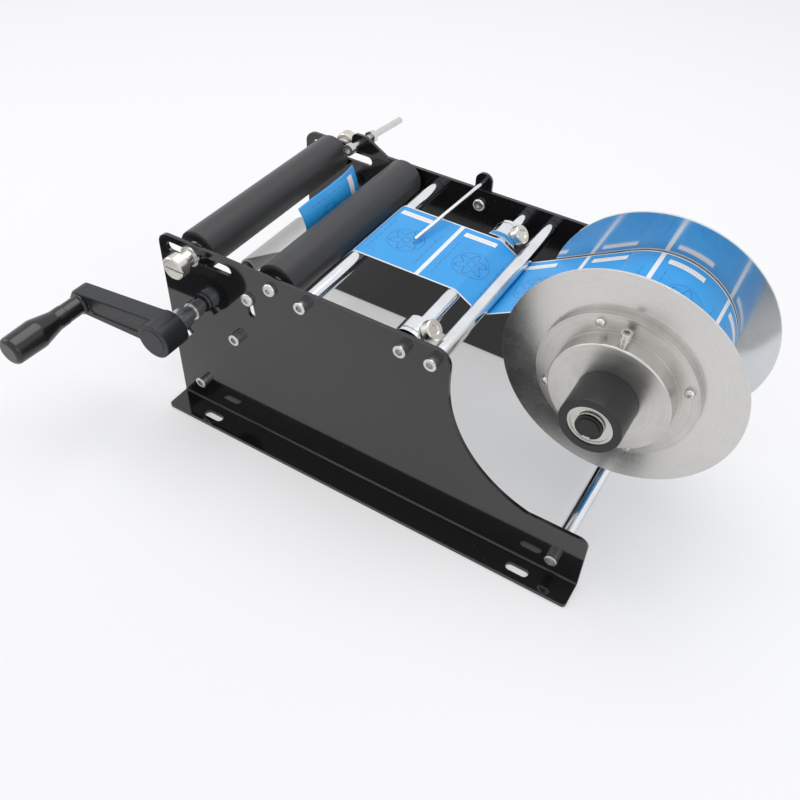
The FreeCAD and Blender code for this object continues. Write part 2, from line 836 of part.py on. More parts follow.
def crank_parts():
    """The take-up shaft that winds the bare liner, and its crank."""
    bore = dim.axle_width / 2 + dim.running_fit
    flange = dim.bush_flange_width / 2
    body = dim.bush_width / 2
    bush = turned(
        "bush_pattern",
        [
            (bore, dim.plate_thick),
            (body, dim.plate_thick),
            (body, 0),
            (flange, 0),
            (flange, -dim.bush_flange_length / 3),
            (body, -dim.bush_flange_length / 3),
            (body, -dim.bush_flange_length),
            (bore, -dim.bush_flange_length),
        ],
    )
    doc.recompute()
    group("take_up_bushes", both_sides(bush.Shape, dim.crank_x, dim.crank_z, outer_face))

    collar_start = outer_face + dim.bush_flange_length + dim.soft_gap
    collar_end = collar_start + dim.crank_collar_length
    shaft_start = collar_end + dim.hub_length - dim.cap_thick - dim.running_fit
    far_end = outer_face + dim.bush_flange_length + 2
    keep(tube("take_up_shaft", dim.axle_width / 2, 0, -shaft_start, far_end, dim.crank_x, dim.crank_z))
    core = dim.take_up_core_width / 2
    keep(tube("take_up_core", core, bore, dim.web_near - 1, web_far + 1, dim.crank_x, dim.crank_z))
    roll = dim.take_up_width / 2
    keep(tube("liner_roll", roll, core + dim.running_fit, dim.web_near, web_far, dim.crank_x, dim.crank_z))

    ring = dim.crank_collar_width / 2
    step = dim.crank_collar_length / 5
    collar = turned(
        "crank_collar",
        [
            (bore, -collar_start),
            (ring - 1, -collar_start),
            (ring - 1, -collar_start - step),
            (ring, -collar_start - step),
            (ring, -collar_end),
            (bore, -collar_end),
        ],
        dim.crank_x,
        dim.crank_z,
    )
    middle = (collar_start + collar_end) / 2
    drill = new_sketch(collar, "screw_hole", "XY_Plane")
    turn = math.radians(SIZES["set_screw_angle"])
    drill.AttachmentOffset = Placement(Vector(0, 0, 0), Rotation(Vector(0, 1, 0), 90 - SIZES["set_screw_angle"]))
    draw_circle(drill, 0, -middle, dim.set_screw_width / 2 + dim.running_fit)
    add_pocket(collar, drill, dim.crank_collar_width, reverse=True)
    keep(collar)
    direction = Vector(math.cos(turn), 0, math.sin(turn))
    head = dim.set_screw_head / 2
    stem = dim.set_screw_width / 2
    seat = ring + dim.soft_gap
    tail = dim.axle_width / 2 + dim.soft_gap
    screw = turned(
        "crank_set_screw",
        [(0, -tail), (stem, -tail), (stem, -seat), (head, -seat), (head, -seat - head), (0, -seat - head)],
        dim.crank_x,
        dim.crank_z,
        -middle,
        along(direction),
    )
    socket = new_sketch(screw, "socket", "XZ_Plane", seat + head)
    draw_hexagon(socket, dim.button_socket)
    add_pocket(screw, socket, head / 2)
    keep(screw)
    crank_arm(collar_end)
    grip_parts(collar_end + dim.arm_offset + dim.arm_thick)


def crank_arm(start):
    """The cast crank arm: a round hub, a tapering arm with a shallow waist, and a round end."""
    body = new_body("crank_arm")
    arm = new_sketch(body, "arm", "XZ_Plane", dim.arm_offset)
    big = dim.hub_width / 2
    small = dim.arm_end_width / 2
    reach = dim.crank_reach
    slant = math.asin(float(big - small) / float(reach))
    circles = [Part.Circle(Vector(0, 0, 0), Vector(0, 0, 1), float(big))]
    circles.append(Part.Circle(Vector(-float(reach), 0, 0), Vector(0, 0, 1), float(small)))
    upper = math.pi / 2 + slant
    lower = 3 * math.pi / 2 - slant
    hub_arc = arm.addGeometry(Part.ArcOfCircle(circles[0], lower, upper + 2 * math.pi))
    end_arc = arm.addGeometry(Part.ArcOfCircle(circles[1], upper, lower))
    edges = []
    for angle in (upper, lower):
        ray = Vector(math.cos(angle), math.sin(angle), 0)
        edges.append(Part.LineSegment(ray * float(big), Vector(-float(reach), 0, 0) + ray * float(small)))
    top = arm.addGeometry(edges[0])
    bottom = arm.addGeometry(edges[1])
    arm.addConstraint(Sketcher.Constraint("Tangent", hub_arc, 2, top, 1))
    arm.addConstraint(Sketcher.Constraint("Tangent", top, 2, end_arc, 1))
    arm.addConstraint(Sketcher.Constraint("Tangent", end_arc, 2, bottom, 2))
    arm.addConstraint(Sketcher.Constraint("Tangent", bottom, 1, hub_arc, 1))
    hold_point(arm, hub_arc, 3, 0, 0)
    hold_point(arm, end_arc, 3, -reach, 0)
    hold_radius(arm, hub_arc, big)
    hold_radius(arm, end_arc, small)
    add_pad(body, arm, dim.arm_thick)
    outer = float(dim.arm_offset + dim.arm_thick)
    round_edges(body, dim.arm_round, lambda edge: abs(edge.CenterOfMass.y + outer) < 0.01)
    hub = new_sketch(body, "hub", "XZ_Plane")
    draw_circle(hub, 0, 0, dim.hub_width / 2)
    add_pad(body, hub, dim.hub_length)
    waist = new_sketch(body, "waist", "XZ_Plane", dim.arm_offset + dim.arm_thick)
    inset = dim.arm_end_width / 4
    draw_slot(waist, (-(dim.hub_width * 0.8), 0), (-(reach - dim.grip_sleeve_width), 0), inset)
    add_pocket(body, waist, dim.arm_round / 4)
    shaft_bore = new_sketch(body, "shaft_bore", "XZ_Plane")
    draw_circle(shaft_bore, 0, 0, dim.axle_width / 2 + dim.running_fit)
    draw_circle(shaft_bore, -reach, 0, dim.grip_pin_width / 2 + dim.running_fit)
    add_pocket(body, shaft_bore)
    seat = new_sketch(body, "cap_seat", "XZ_Plane", dim.hub_length)
    draw_circle(seat, 0, 0, dim.cap_width / 2 + dim.running_fit)
    add_pocket(body, seat, dim.cap_thick)
    rim = float(dim.hub_length)
    outer_rim = float(dim.hub_width) * math.pi * 0.99
    round_edges(
        body,
        dim.arm_round / 3,
        lambda edge: abs(edge.CenterOfMass.y + rim) < 0.01 and edge.Length > outer_rim,
    )
    droop = Rotation(Vector(0, 1, 0), -SIZES["crank_droop"])
    place(body, dim.crank_x, -start, dim.crank_z, droop)
    keep(body)
    cap_face = start + dim.hub_length
    cap = turned(
        "crank_cap",
        [
            (0, dim.cap_thick - cap_face),
            (dim.cap_width / 2, dim.cap_thick - cap_face),
            (dim.cap_width / 2, -cap_face),
            (dim.cap_width / 2 - dim.cap_thick / 4, -cap_face - dim.cap_thick / 4),
            (0, -cap_face - dim.cap_thick / 4),
        ],
        dim.crank_x,
        dim.crank_z,
    )
    keep(cap)


def grip_parts(start):
    """The turning grip on its pin, which a short sleeve spaces from the arm."""
    droop = math.radians(SIZES["crank_droop"])
    x = dim.crank_x - dim.crank_reach * round(math.cos(droop), 9)
    z = dim.crank_z - dim.crank_reach * round(math.sin(droop), 9)
    bore = dim.grip_pin_width / 2 + dim.running_fit
    sleeve_end = start + dim.grip_sleeve_length
    ring = dim.grip_sleeve_width / 2
    lip = dim.grip_sleeve_length / 12
    sleeve = turned(
        "grip_sleeve",
        [
            (bore, -start),
            (ring + lip, -start),
            (ring + lip, -start - lip),
            (ring, -start - 2 * lip),
            (ring, -sleeve_end),
            (bore, -sleeve_end),
        ],
        x,
        z,
    )
    keep(sleeve)
    grip_start = sleeve_end + dim.soft_gap
    grip_end = grip_start + dim.grip_length
    pin_end = grip_end - dim.grip_width / 2
    pin_head = start - dim.arm_thick
    pin = dim.grip_pin_width / 2
    head = pin * 1.8
    keep(
        turned(
            "grip_pin",
            [(0, -pin_end), (pin, -pin_end), (pin, -pin_head), (head, -pin_head), (head, -pin_head + pin), (0, -pin_head + pin)],
            x,
            z,
        )
    )
    neck = dim.grip_neck_width / 2
    wide = dim.grip_width / 2
    swell = grip_start + dim.grip_length * 0.5
    blind = pin_end + dim.soft_gap
    grip = turned(
        "grip",
        [
            (bore, -grip_start),
            (neck, -grip_start),
            (neck, -grip_start - dim.grip_length * 0.16),
            (wide, -swell),
            (wide * 0.94, -grip_end),
            (0, -grip_end),
            (0, -blind),
            (bore, -blind),
        ],
        x,
        z,
    )
    waist_y = -float(grip_start + dim.grip_length * 0.16)
    swell_y = -float(swell)
    end_y = -float(grip_end)
    round_edges(
        grip,
        dim.grip_length * 0.3,
        lambda edge: edge.Closed and abs(edge.CenterOfMass.y - waist_y) < 0.01,
    )
    round_edges(
        grip,
        dim.grip_length * 0.3,
        lambda edge: edge.Closed and abs(edge.CenterOfMass.y - swell_y) < 0.01,
    )
    round_edges(grip, dim.grip_width * 0.16, lambda edge: edge.Closed and abs(edge.CenterOfMass.y - end_y) < 0.01)
    keep(grip)


# ---------------------------------------------------------------- reel


def reel_hub(label, side, disc_inner):
    """A reel hub: spigot inside the label core, flange on the disc, and a boss outside it."""
    bore = dim.sleeve_width / 2 + dim.running_fit
    spigot = dim.label_bore / 2 - dim.soft_gap
    flange_start = disc_inner + dim.disc_thick
    flange_end = flange_start + dim.hub_flange_thick
    boss_end = flange_end + dim.boss_length
    flange = dim.hub_flange_width / 2
    boss = dim.boss_width / 2
    body = turned(
        label,
        [
            (bore, side * (disc_inner - dim.spigot_length)),
            (spigot, side * (disc_inner - dim.spigot_length)),
            (spigot, side * flange_start),
            (flange, side * flange_start),
            (flange, side * flange_end),
            (boss, side * flange_end),
            (boss, side * boss_end),
            (bore, side * boss_end),
        ],
        dim.reel_x,
        dim.reel_z,
    )
    crown = float(boss_end)
    round_edges(
        body,
        dim.boss_length / 14,
        lambda edge: edge.Closed and abs(abs(edge.CenterOfMass.y) - crown) < 0.01 and edge.Length > float(dim.boss_width) * 3,
    )
    return body, boss_end


def reel_parts():
    """The label reel: a sleeve on two ball bearings that turns on a shaft fixed to the far plate."""
    near_inner = dim.disc_play - dim.web_near
    far_inner = web_far + dim.disc_play
    core = dim.label_bore / 2
    roll = dim.label_roll_width / 2
    wall = core + dim.core_wall
    keep(tube("label_core", wall, core, dim.web_near, web_far, dim.reel_x, dim.reel_z))
    keep(tube("label_roll", roll, wall + dim.running_fit, dim.web_near, web_far, dim.reel_x, dim.reel_z))
    spigot = core - dim.soft_gap + dim.running_fit
    disc = dim.disc_width / 2
    for label, side, inner in (("near_disc", -1, near_inner), ("far_disc", 1, far_inner)):
        plate = tube(label, disc, spigot, side * inner, side * (inner + dim.disc_thick), dim.reel_x, dim.reel_z)
        keep(plate)
    near_hub, near_end = reel_hub("near_hub", -1, near_inner)
    far_hub, far_end = reel_hub("far_hub", 1, far_inner)

    screw = socket_screw(
        "hub_screw_pattern",
        dim.hub_screw_head,
        dim.hub_screw_head / 2,
        dim.hub_screw_head * 0.4,
        dim.hub_screw_head / 2,
        dim.hub_flange_thick * 0.8,
        True,
    )
    circle = float(dim.hub_screw_circle) / 2
    copies = []
    holes = new_sketch(near_hub, "screw_holes", "XZ_Plane", near_end - dim.boss_length)
    for step in range(4):
        angle = math.radians(SIZES["hub_screw_angle"] + 90 * step)
        x = dim.hub_screw_circle / 2 * round(math.cos(angle), 6)
        z = dim.hub_screw_circle / 2 * round(math.sin(angle), 6)
        draw_circle(holes, x, z, dim.hub_screw_head / 4 + dim.running_fit)
        place_x = float(dim.reel_x) + circle * math.cos(angle)
        place_z = float(dim.reel_z) + circle * math.sin(angle)
        copies.append(moved(screw, place_x, dim.boss_length - near_end, place_z))
    add_pocket(near_hub, holes, dim.hub_flange_thick * 0.8 + dim.running_fit)
    group("near_hub_screws", copies)

    stem = dim.set_screw_width / 2
    lock_y = near_end - dim.boss_length * 0.45
    top = dim.boss_width / 2
    drill = new_sketch(near_hub, "lock_hole", "XY_Plane")
    draw_circle(drill, 0, -lock_y, stem + dim.running_fit)
    add_pocket(near_hub, drill, dim.boss_width, reverse=True)
    keep(near_hub)
    keep(far_hub)
    head = dim.set_screw_head / 2
    rise = dim.set_screw_head * 0.5
    lock = turned(
        "hub_lock_screw",
        [
            (0, -(dim.sleeve_width / 2 + dim.soft_gap)),
            (stem, -(dim.sleeve_width / 2 + dim.soft_gap)),
            (stem, -top - rise),
            (head, -top - rise),
            (head, -top - rise * 2.5),
            (0, -top - rise * 2.5),
        ],
        dim.reel_x,
        dim.reel_z,
        -lock_y,
        along(Vector(0, 0, 1)),
    )
    socket = new_sketch(lock, "socket", "XZ_Plane", top + rise * 2.5)
    draw_hexagon(socket, dim.button_socket)
    add_pocket(lock, socket, rise)
    keep(lock)

    sleeve_near = near_end + dim.sleeve_overhang
    sleeve_outer = dim.sleeve_width / 2
    seat = dim.reel_bearing_outer / 2
    bore = sleeve_outer - dim.sleeve_wall
    recess = dim.bearing_recess
    deep = recess + dim.reel_bearing_depth
    sleeve = turned(
        "reel_sleeve",
        [
            (seat, -sleeve_near),
            (sleeve_outer, -sleeve_near),
            (sleeve_outer, far_end),
            (seat, far_end),
            (seat, far_end - deep),
            (bore, far_end - deep),
            (bore, deep - sleeve_near),
            (seat, deep - sleeve_near),
        ],
        dim.reel_x,
        dim.reel_z,
    )
    face = float(sleeve_near)
    round_edges(
        sleeve,
        dim.sleeve_wall / 8,
        lambda edge: edge.Closed and abs(edge.CenterOfMass.y + face) < 0.01 and edge.Length > float(dim.sleeve_width) * 3,
    )
    keep(sleeve)
    reel_bearings(sleeve_near - recess, far_end - recess)
    reel_shaft(sleeve_near, far_end)


def reel_bearings(near_face, far_face):
    """Two deep-groove ball bearings, with the step between ring and shield on the outer face."""
    bore = dim.reel_shaft_width / 2 + dim.running_fit
    ring = dim.reel_bearing_outer / 2
    land = (ring - bore) / 4
    dish = dim.reel_bearing_depth / 12
    bearing = turned(
        "reel_bearing_pattern",
        [
            (bore, 0),
            (bore + land, 0),
            (bore + land, dish),
            (ring - land, dish),
            (ring - land, 0),
            (ring, 0),
            (ring, dim.reel_bearing_depth),
            (bore, dim.reel_bearing_depth),
        ],
    )
    doc.recompute()
    shapes = [moved(bearing.Shape, dim.reel_x, -near_face, dim.reel_z)]
    shapes.append(moved(bearing.Shape, dim.reel_x, far_face, dim.reel_z, Rotation(Vector(0, 0, 1), 180)))
    group("reel_bearings", shapes)


def reel_shaft(sleeve_near, sleeve_far):
    """The fixed shaft: bearing journals, shoulder, flange on the plate, and a stud through it."""
    nose = sleeve_near + dim.shaft_nose
    journal = dim.reel_shaft_width / 2
    shoulder = dim.shaft_shoulder_width / 2
    flange = dim.shaft_flange_width / 2
    stud = dim.shaft_stud_width / 2
    shoulder_start = sleeve_far + dim.soft_gap
    flange_start = inner_face - dim.shaft_flange_thick
    stud_end = outer_face + dim.shaft_nut_height + 2
    ring_groove = dim.reel_shaft_width / 15
    ring_out = sleeve_near + dim.soft_gap
    bevel = dim.reel_shaft_width / 15
    keep(
        turned(
            "reel_shaft",
            [
                (0, -nose),
                (journal - bevel, -nose),
                (journal, bevel - nose),
                (journal, -ring_out - 1),
                (journal - ring_groove, -ring_out - 1),
                (journal - ring_groove, -ring_out),
                (journal, -ring_out),
                (journal, shoulder_start - dim.bearing_recess),
                (shoulder, shoulder_start),
                (shoulder, flange_start),
                (flange, flange_start),
                (flange, inner_face),
                (stud, inner_face),
                (stud, stud_end),
                (0, stud_end),
            ],
            dim.reel_x,
            dim.reel_z,
        )
    )
    inner = journal - ring_groove + dim.running_fit
    gap = dim.running_fit
    clip = tube("reel_shaft_ring", journal + 2, inner, -ring_out - 1 + gap, -ring_out - gap, dim.reel_x, dim.reel_z)
    mouth = new_sketch(clip, "mouth", "XZ_Plane")
    half = journal / 3
    draw_outline(mouth, [(-half, 0), (half, 0), (half, -dim.reel_shaft_width), (-half, -dim.reel_shaft_width)])
    add_pocket(clip, mouth)
    keep(clip)
    nut = hex_nut("reel_shaft_nut", dim.shaft_stud_width * 1.5, dim.shaft_nut_height, stud + dim.running_fit)
    place(nut, dim.reel_x, outer_face, dim.reel_z)
    keep(nut)


# ---------------------------------------------------------------- width collars


def width_collar(name, near_face, side):
    """A collar with a rimmed, grooved inner end; its thumb screw locks it on the middle rod."""
    bore = dim.rod_width / 2 + dim.running_fit
    ring = dim.collar_width / 2
    groove = ring - dim.collar_groove
    neck_start = dim.collar_length
    neck_end = neck_start + dim.collar_groove
    rim_end = neck_end + dim.collar_rim
    corners = [(bore, 0), (ring, 0), (ring, neck_start), (groove, neck_start), (groove, neck_end)]
    corners += [(ring, neck_end), (ring, rim_end), (bore, rim_end)]
    shift = near_face if side > 0 else near_face + rim_end
    body = turned(name + "_width_collar", [(r, shift - y if side < 0 else shift + y) for r, y in corners], 0, 0)
    middle = shift + side * dim.collar_length / 2
    drill = new_sketch(body, "screw_hole", "XY_Plane")
    drill.AttachmentOffset = Placement(Vector(0, 0, 0), Rotation(Vector(0, 1, 0), 90 - SIZES["thumb_angle"]))
    bind(drill, "AttachmentOffset.Rotation.Angle", 90 - dim.thumb_angle)
    draw_circle(drill, 0, middle, dim.thumb_stem / 2 + dim.running_fit)
    add_pocket(body, drill, dim.collar_width, reverse=True)
    place(body, dim.middle_guide_x, 0, dim.guide_z)
    keep(body)
    turn = math.radians(SIZES["thumb_angle"])
    direction = Vector(math.cos(turn), 0, math.sin(turn))
    stem = dim.thumb_stem / 2
    head = dim.thumb_width / 2
    outer = dim.thumb_reach
    under = outer - dim.thumb_height
    tail = dim.rod_width / 2 + dim.soft_gap
    bevel = dim.thumb_height / 10
    screw = turned(
        name + "_thumb_screw",
        [
            (0, -tail),
            (stem, -tail),
            (stem, -under),
            (head - bevel, -under),
            (head, -under - bevel),
            (head, bevel - outer),
            (head - bevel, -outer),
            (head / 2, -outer),
            (head / 2 - bevel, bevel - outer),
            (0, bevel - outer),
        ],
        dim.middle_guide_x,
        dim.guide_z,
        middle,
        along(direction),
    )
    knurl(screw, -under, dim.thumb_height, head, 24, bevel * 0.7)
    keep(screw)


# ---------------------------------------------------------------- bottle stop and pointer


def bottle_stop():
    """A long screw through the leaning ear, held by a lock nut, that the bottle's end rests on."""
    lean = math.radians(SIZES["ear_lean"])
    inward = Vector(0, -math.cos(lean), math.sin(lean))
    rise = dim.stop_z - dim.plate_height
    hole_y = inner_face + rise * round(math.sin(lean), 6)
    hole_z = dim.plate_height + rise * round(math.cos(lean), 6)
    head_face = dim.stop_inner
    head_height = dim.cap_head_height
    screw = dim.screw_width / 2
    head = dim.cap_head_width / 2
    tip = dim.stop_length - head_face + head_height
    bolt = turned(
        "stop_bolt",
        [
            (0, -head_face),
            (head, -head_face),
            (head, head_height - head_face),
            (screw, head_height - head_face),
            (screw, tip),
            (0, tip),
        ],
        dim.ear_bolt_x,
        hole_z,
        hole_y,
        along(inward),
    )
    socket = new_sketch(bolt, "socket", "XZ_Plane", head_face)
    draw_hexagon(socket, dim.cap_socket)
    add_pocket(bolt, socket, head_height / 2)
    keep(bolt)
    nut = hex_nut("stop_lock_nut", dim.stop_nut_width, dim.stop_nut_height, screw + dim.running_fit)
    reach = dim.plate_thick + dim.stop_nut_gap
    place(
        nut,
        dim.ear_bolt_x,
        hole_y + reach * round(math.cos(lean), 6),
        hole_z - reach * round(math.sin(lean), 6),
        along(inward),
    )
    keep(nut)


def pointer():
    """A thin rod over the web that shows where a label's edge should stop, on a swinging tab."""
    top = dim.pointer_rod_z
    half = dim.pointer_plate_width / 2
    tab = new_body("pointer_bracket")
    face = new_sketch(tab, "face", "XZ_Plane")
    draw_slot(face, (0, 0), (0, top - dim.pointer_screw_z), half)
    add_pad(tab, face, dim.pointer_plate_thick, reverse=True)
    holes = new_sketch(tab, "holes", "XZ_Plane")
    draw_circle(holes, 0, 0, screw_hole)
    draw_circle(holes, 0, top - dim.pointer_screw_z, dim.pointer_rod_width / 2 + dim.running_fit)
    add_pocket(tab, holes)
    seat = outer_face + dim.soft_gap
    place(tab, dim.pointer_x, seat, dim.pointer_screw_z)
    keep(tab)
    screw = socket_screw(
        "pointer_button",
        dim.button_head_width,
        dim.button_head_height,
        dim.button_socket,
        dim.screw_width,
        dim.screw_depth,
        True,
    )
    nut = hex_nut("pointer_nut_pattern", dim.stop_nut_width, dim.stop_nut_height, screw_hole)
    doc.recompute()
    nut_y = seat + dim.pointer_plate_thick + dim.soft_gap
    shapes = [moved(screw, dim.pointer_x, inner_face, dim.pointer_screw_z)]
    shapes.append(moved(nut.Shape, dim.pointer_x, nut_y, dim.pointer_screw_z))
    group("pointer_fasteners", shapes)
    tail_y = seat + dim.pointer_plate_thick + dim.pointer_rod_width
    rod = float(dim.pointer_rod_width) / 2
    outside = seat + dim.pointer_plate_thick
    start = Vector(float(dim.pointer_x), float(seat), float(dim.pointer_rod_z))
    tip_y = float(dim.pointer_tip_y)
    run = Vector(-float(dim.pointer_tip_back), tip_y - start.y, -float(dim.pointer_tip_drop))
    needle = Part.makeCylinder(rod, run.Length, start, run)
    elbow = Part.makeSphere(rod, start)
    tail = Part.makeCylinder(rod, float(tail_y) - start.y, start, Vector(0, 1, 0))
    nut_start = Vector(start.x, float(outside), start.z)
    round_nut = Part.makeCylinder(rod * 2.6, float(tail_y - outside), nut_start, Vector(0, 1, 0))
    piece = doc.addObject("Part::Feature", "pointer_rod")
    piece.Label = "pointer_rod"
    piece.Shape = needle.fuse([elbow, tail, round_nut]).removeSplitter()
    keep(piece)


# ---------------------------------------------------------------- label web


def tangent_angle(centre_a, radius_a, side_a, centre_b, radius_b, side_b):
    """The heading of the straight run that leaves circle a and meets circle b.

    side is 1 where the web keeps the circle on its left and -1 where it keeps it on its right."""
    gap = centre_b.sub(centre_a)
    offset = side_b * radius_b - side_a * radius_a
    return (math.atan2(gap.y, gap.x) - math.asin(offset / gap.Length)) % (2 * math.pi)


def web_strip(circles, thick, start_angle=None, end_angle=None):
    """A strip of constant thickness wound past circles given as (x, z, radius, side)."""
    centres = [Vector(x, z, 0) for x, z, radius, side in circles]
    headings = []
    for (a, b), ca, cb in zip(zip(circles, circles[1:]), centres, centres[1:]):
        headings.append(tangent_angle(ca, a[2], a[3], cb, b[2], b[3]))
    outline = {1: [], -1: []}
    for edge in (1, -1):
        for number, (x, z, radius, side) in enumerate(circles):
            size = radius - edge * side * thick / 2
            arrive = headings[number - 1] if number else start_angle
            leave = headings[number] if number < len(headings) else end_angle
            outline[edge].append((centres[number], size, side, arrive, leave))
    return outline


def strip_point(centre, size, side, heading):
    """Where a web that keeps the circle on the given side touches it while it heads this way."""
    return centre + Vector(math.sin(heading), -math.cos(heading), 0) * (side * size)


def strip_edge(stops):
    """Arcs and tangent runs of one edge of the strip, in travel order."""
    pieces = []
    last = None
    for centre, size, side, arrive, leave in stops:
        first_heading = leave if arrive is None else arrive
        last_heading = arrive if leave is None else leave
        touch = strip_point(centre, size, side, first_heading)
        if last is not None:
            pieces.append(Part.LineSegment(last, touch).toShape())
        last = strip_point(centre, size, side, last_heading)
        if (last - touch).Length > 1e-6:
            middle = strip_point(centre, size, side, (first_heading + last_heading) / 2)
            pieces.append(Part.Arc(touch, middle, last).toShape())
    return pieces


def strip_solid(circles, near, far, start_angle=None, end_angle=None):
    """The web as a closed solid between two y values."""
    outline = web_strip(circles, float(dim.web_thick), start_angle, end_angle)
    left = strip_edge(outline[1])
    right = strip_edge(outline[-1])
    caps = []
    for index in (0, -1):
        ends = []
        for side in (left, right):
            points = [side[index].valueAt(side[index].FirstParameter), side[index].valueAt(side[index].LastParameter)]
            ends.append(points[index])
        caps.append(Part.LineSegment(*ends).toShape())
    wire = Part.Wire(Part.__sortEdges__(left + right + caps))
    face = Part.Face(wire)
    solid = face.extrude(Vector(0, 0, far - near))
    solid.rotate(Vector(0, 0, 0), Vector(1, 0, 0), 90)
    solid.translate(Vector(0, far, 0))
    return solid


def label_web():
    """The printed web from the roll over the guides to the peel rod, then the bare liner to the crank."""
    lift = float(web_lift)
    rod = float(dim.rod_width) / 2 + lift
    circles = [
        (float(dim.reel_x), float(dim.reel_z), float(dim.label_roll_width) / 2 + lift, 1),
        (float(dim.rear_guide_x), float(dim.guide_z), rod, -1),
        (float(dim.middle_guide_x), float(dim.guide_z), rod, 1),
        (float(dim.front_guide_x), float(dim.guide_z), rod, 1),
        (float(dim.rear_roller_x), float(dim.bed_z), float(dim.roller_width) / 2 + lift, -1),
        (float(dim.peel_x), float(dim.peel_z), rod, 1),
        (float(dim.crank_x), float(dim.crank_z), float(dim.take_up_width) / 2 + lift, 1),
    ]
    piece = doc.addObject("Part::Feature", "label_web")
    piece.Label = "label_web"
    piece.Shape = strip_solid(circles, float(dim.web_near), float(web_far))
    keep(piece)


def peeled_label():
    """The label that has left its liner: up the front of the rear roller, its free edge curling out."""
    radius = float(dim.roller_width) / 2 + float(web_lift)
    centre_x = float(dim.rear_roller_x)
    centre_z = float(dim.bed_z)
    thick = float(dim.web_thick)
    bed_front = centre_x - radius
    rise = float(dim.peeled_rise)
    curl = float(dim.peeled_curl)
    start = math.radians(-12)
    left = []
    for size in (radius - thick / 2, radius + thick / 2):
        low = Vector(centre_x - size * math.cos(start), 0, centre_z + size * math.sin(start))
        level = Vector(centre_x - size, 0, centre_z)
        half = Vector(centre_x - size * math.cos(start / 2), 0, centre_z + size * math.sin(start / 2))
        bend = size - radius
        curl_centre_x = bed_front - curl
        turn = rise / curl
        arc_size = curl - bend
        top = Vector(curl_centre_x + arc_size * math.cos(turn), 0, centre_z + arc_size * math.sin(turn))
        middle = Vector(curl_centre_x + arc_size * math.cos(turn / 2), 0, centre_z + arc_size * math.sin(turn / 2))
        left.append((low, half, level, middle, top))
    edges = []
    for low, half, level, middle, top in left:
        edges.append(Part.Arc(low, half, level).toShape())
        edges.append(Part.Arc(level, middle, top).toShape())
    edges.append(Part.LineSegment(left[0][0], left[1][0]).toShape())
    edges.append(Part.LineSegment(left[0][4], left[1][4]).toShape())
    face = Part.Face(Part.Wire(Part.__sortEdges__(edges)))
    near = float(dim.web_near) + 1
    solid = face.extrude(Vector(0, float(dim.web_width) - 2, 0))
    solid.translate(Vector(0, near, 0))
    piece = doc.addObject("Part::Feature", "peeled_label")
    piece.Label = "peeled_label"
    piece.Shape = solid
    keep(piece)


# ---------------------------------------------------------------- the whole machine

crank_side_plate()
far_side_plate()
rods()
rod_screws()
rollers()
peel_bar()
crank_parts()
reel_parts()
width_collar("near", dim.near_collar_y, -1)
width_collar("far", dim.far_collar_y, 1)
bottle_stop()
pointer()
label_web()
peeled_label()
doc.recompute()

for item in doc.Objects:
    if "Invalid" in item.State or "Error" in item.State:
        raise RuntimeError("%s failed: %s" % (item.Label, item.State))
for item in NODES:
    if item.Shape.isNull() or not item.Shape.isValid() or not item.Shape.Solids:
        raise RuntimeError("%s has no valid solid" % item.Label)

os.makedirs("parts", exist_ok=True)
for item in NODES:
    item.Shape.exportStep("parts/%s.step" % item.Label)
print("%d nodes written" % len(NODES))
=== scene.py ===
from math import asin, atan2, cos, hypot, pi, radians, sin

import bmesh
import bpy
from mathutils import Matrix, Vector


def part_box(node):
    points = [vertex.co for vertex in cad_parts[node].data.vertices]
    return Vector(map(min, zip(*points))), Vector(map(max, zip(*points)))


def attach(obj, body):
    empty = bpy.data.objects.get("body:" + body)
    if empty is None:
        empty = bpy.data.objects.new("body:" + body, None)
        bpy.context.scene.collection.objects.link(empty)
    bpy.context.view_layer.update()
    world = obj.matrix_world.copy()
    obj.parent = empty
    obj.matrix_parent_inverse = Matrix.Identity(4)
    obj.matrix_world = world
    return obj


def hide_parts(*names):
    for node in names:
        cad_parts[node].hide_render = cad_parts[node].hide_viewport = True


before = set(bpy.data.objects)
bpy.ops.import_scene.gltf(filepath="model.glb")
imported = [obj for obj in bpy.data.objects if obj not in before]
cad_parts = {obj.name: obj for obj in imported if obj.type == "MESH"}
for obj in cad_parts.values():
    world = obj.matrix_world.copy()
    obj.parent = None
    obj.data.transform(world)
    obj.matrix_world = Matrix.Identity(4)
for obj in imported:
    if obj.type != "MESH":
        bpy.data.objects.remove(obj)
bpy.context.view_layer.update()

# ---- Floor, light and camera
# A white table in a light tent: one large lamp overhead, a weaker one at each side, and a
# camera that looks down along the crank side towards the far plate.
CAMERA_PLACE = (0.25077, -0.48416, 0.55373)
CAMERA_TURN = radians(29.587)
CAMERA_LOOK_DOWN = radians(43.421)
CAMERA_ROLL = radians(2.616)
FLOOR_HALF = 6.0
TENT_LIGHT = 0.62
LAMPS = {
    "overhead": ((-0.10, 0.35, 1.50), (1.5, 1.0), 11.0),
    "left_side": ((-1.30, -0.50, 0.80), (0.8, 1.0), 3.0),
    "right_side": ((1.20, -0.60, 0.90), (0.8, 1.0), 2.5),
}


def shade(tree, kind, settings=None, **inputs):
    """Adds a shader node; an input is a plain value or another node's socket."""
    made = tree.nodes.new("ShaderNode" + kind)
    for name, value in (settings or {}).items():
        setattr(made, name, value)
    for name, value in inputs.items():
        socket = made.inputs[name.replace("_", " ")]
        if isinstance(value, bpy.types.NodeSocket):
            tree.links.new(value, socket)
        else:
            socket.default_value = value
    return made


def calc(tree, operation, first, second=0.0):
    """One Math node, given and giving sockets."""
    made = tree.nodes.new("ShaderNodeMath")
    made.operation = operation
    for socket, value in zip(made.inputs, (first, second)):
        if isinstance(value, bpy.types.NodeSocket):
            tree.links.new(value, socket)
        else:
            socket.default_value = value
    return made.outputs[0]


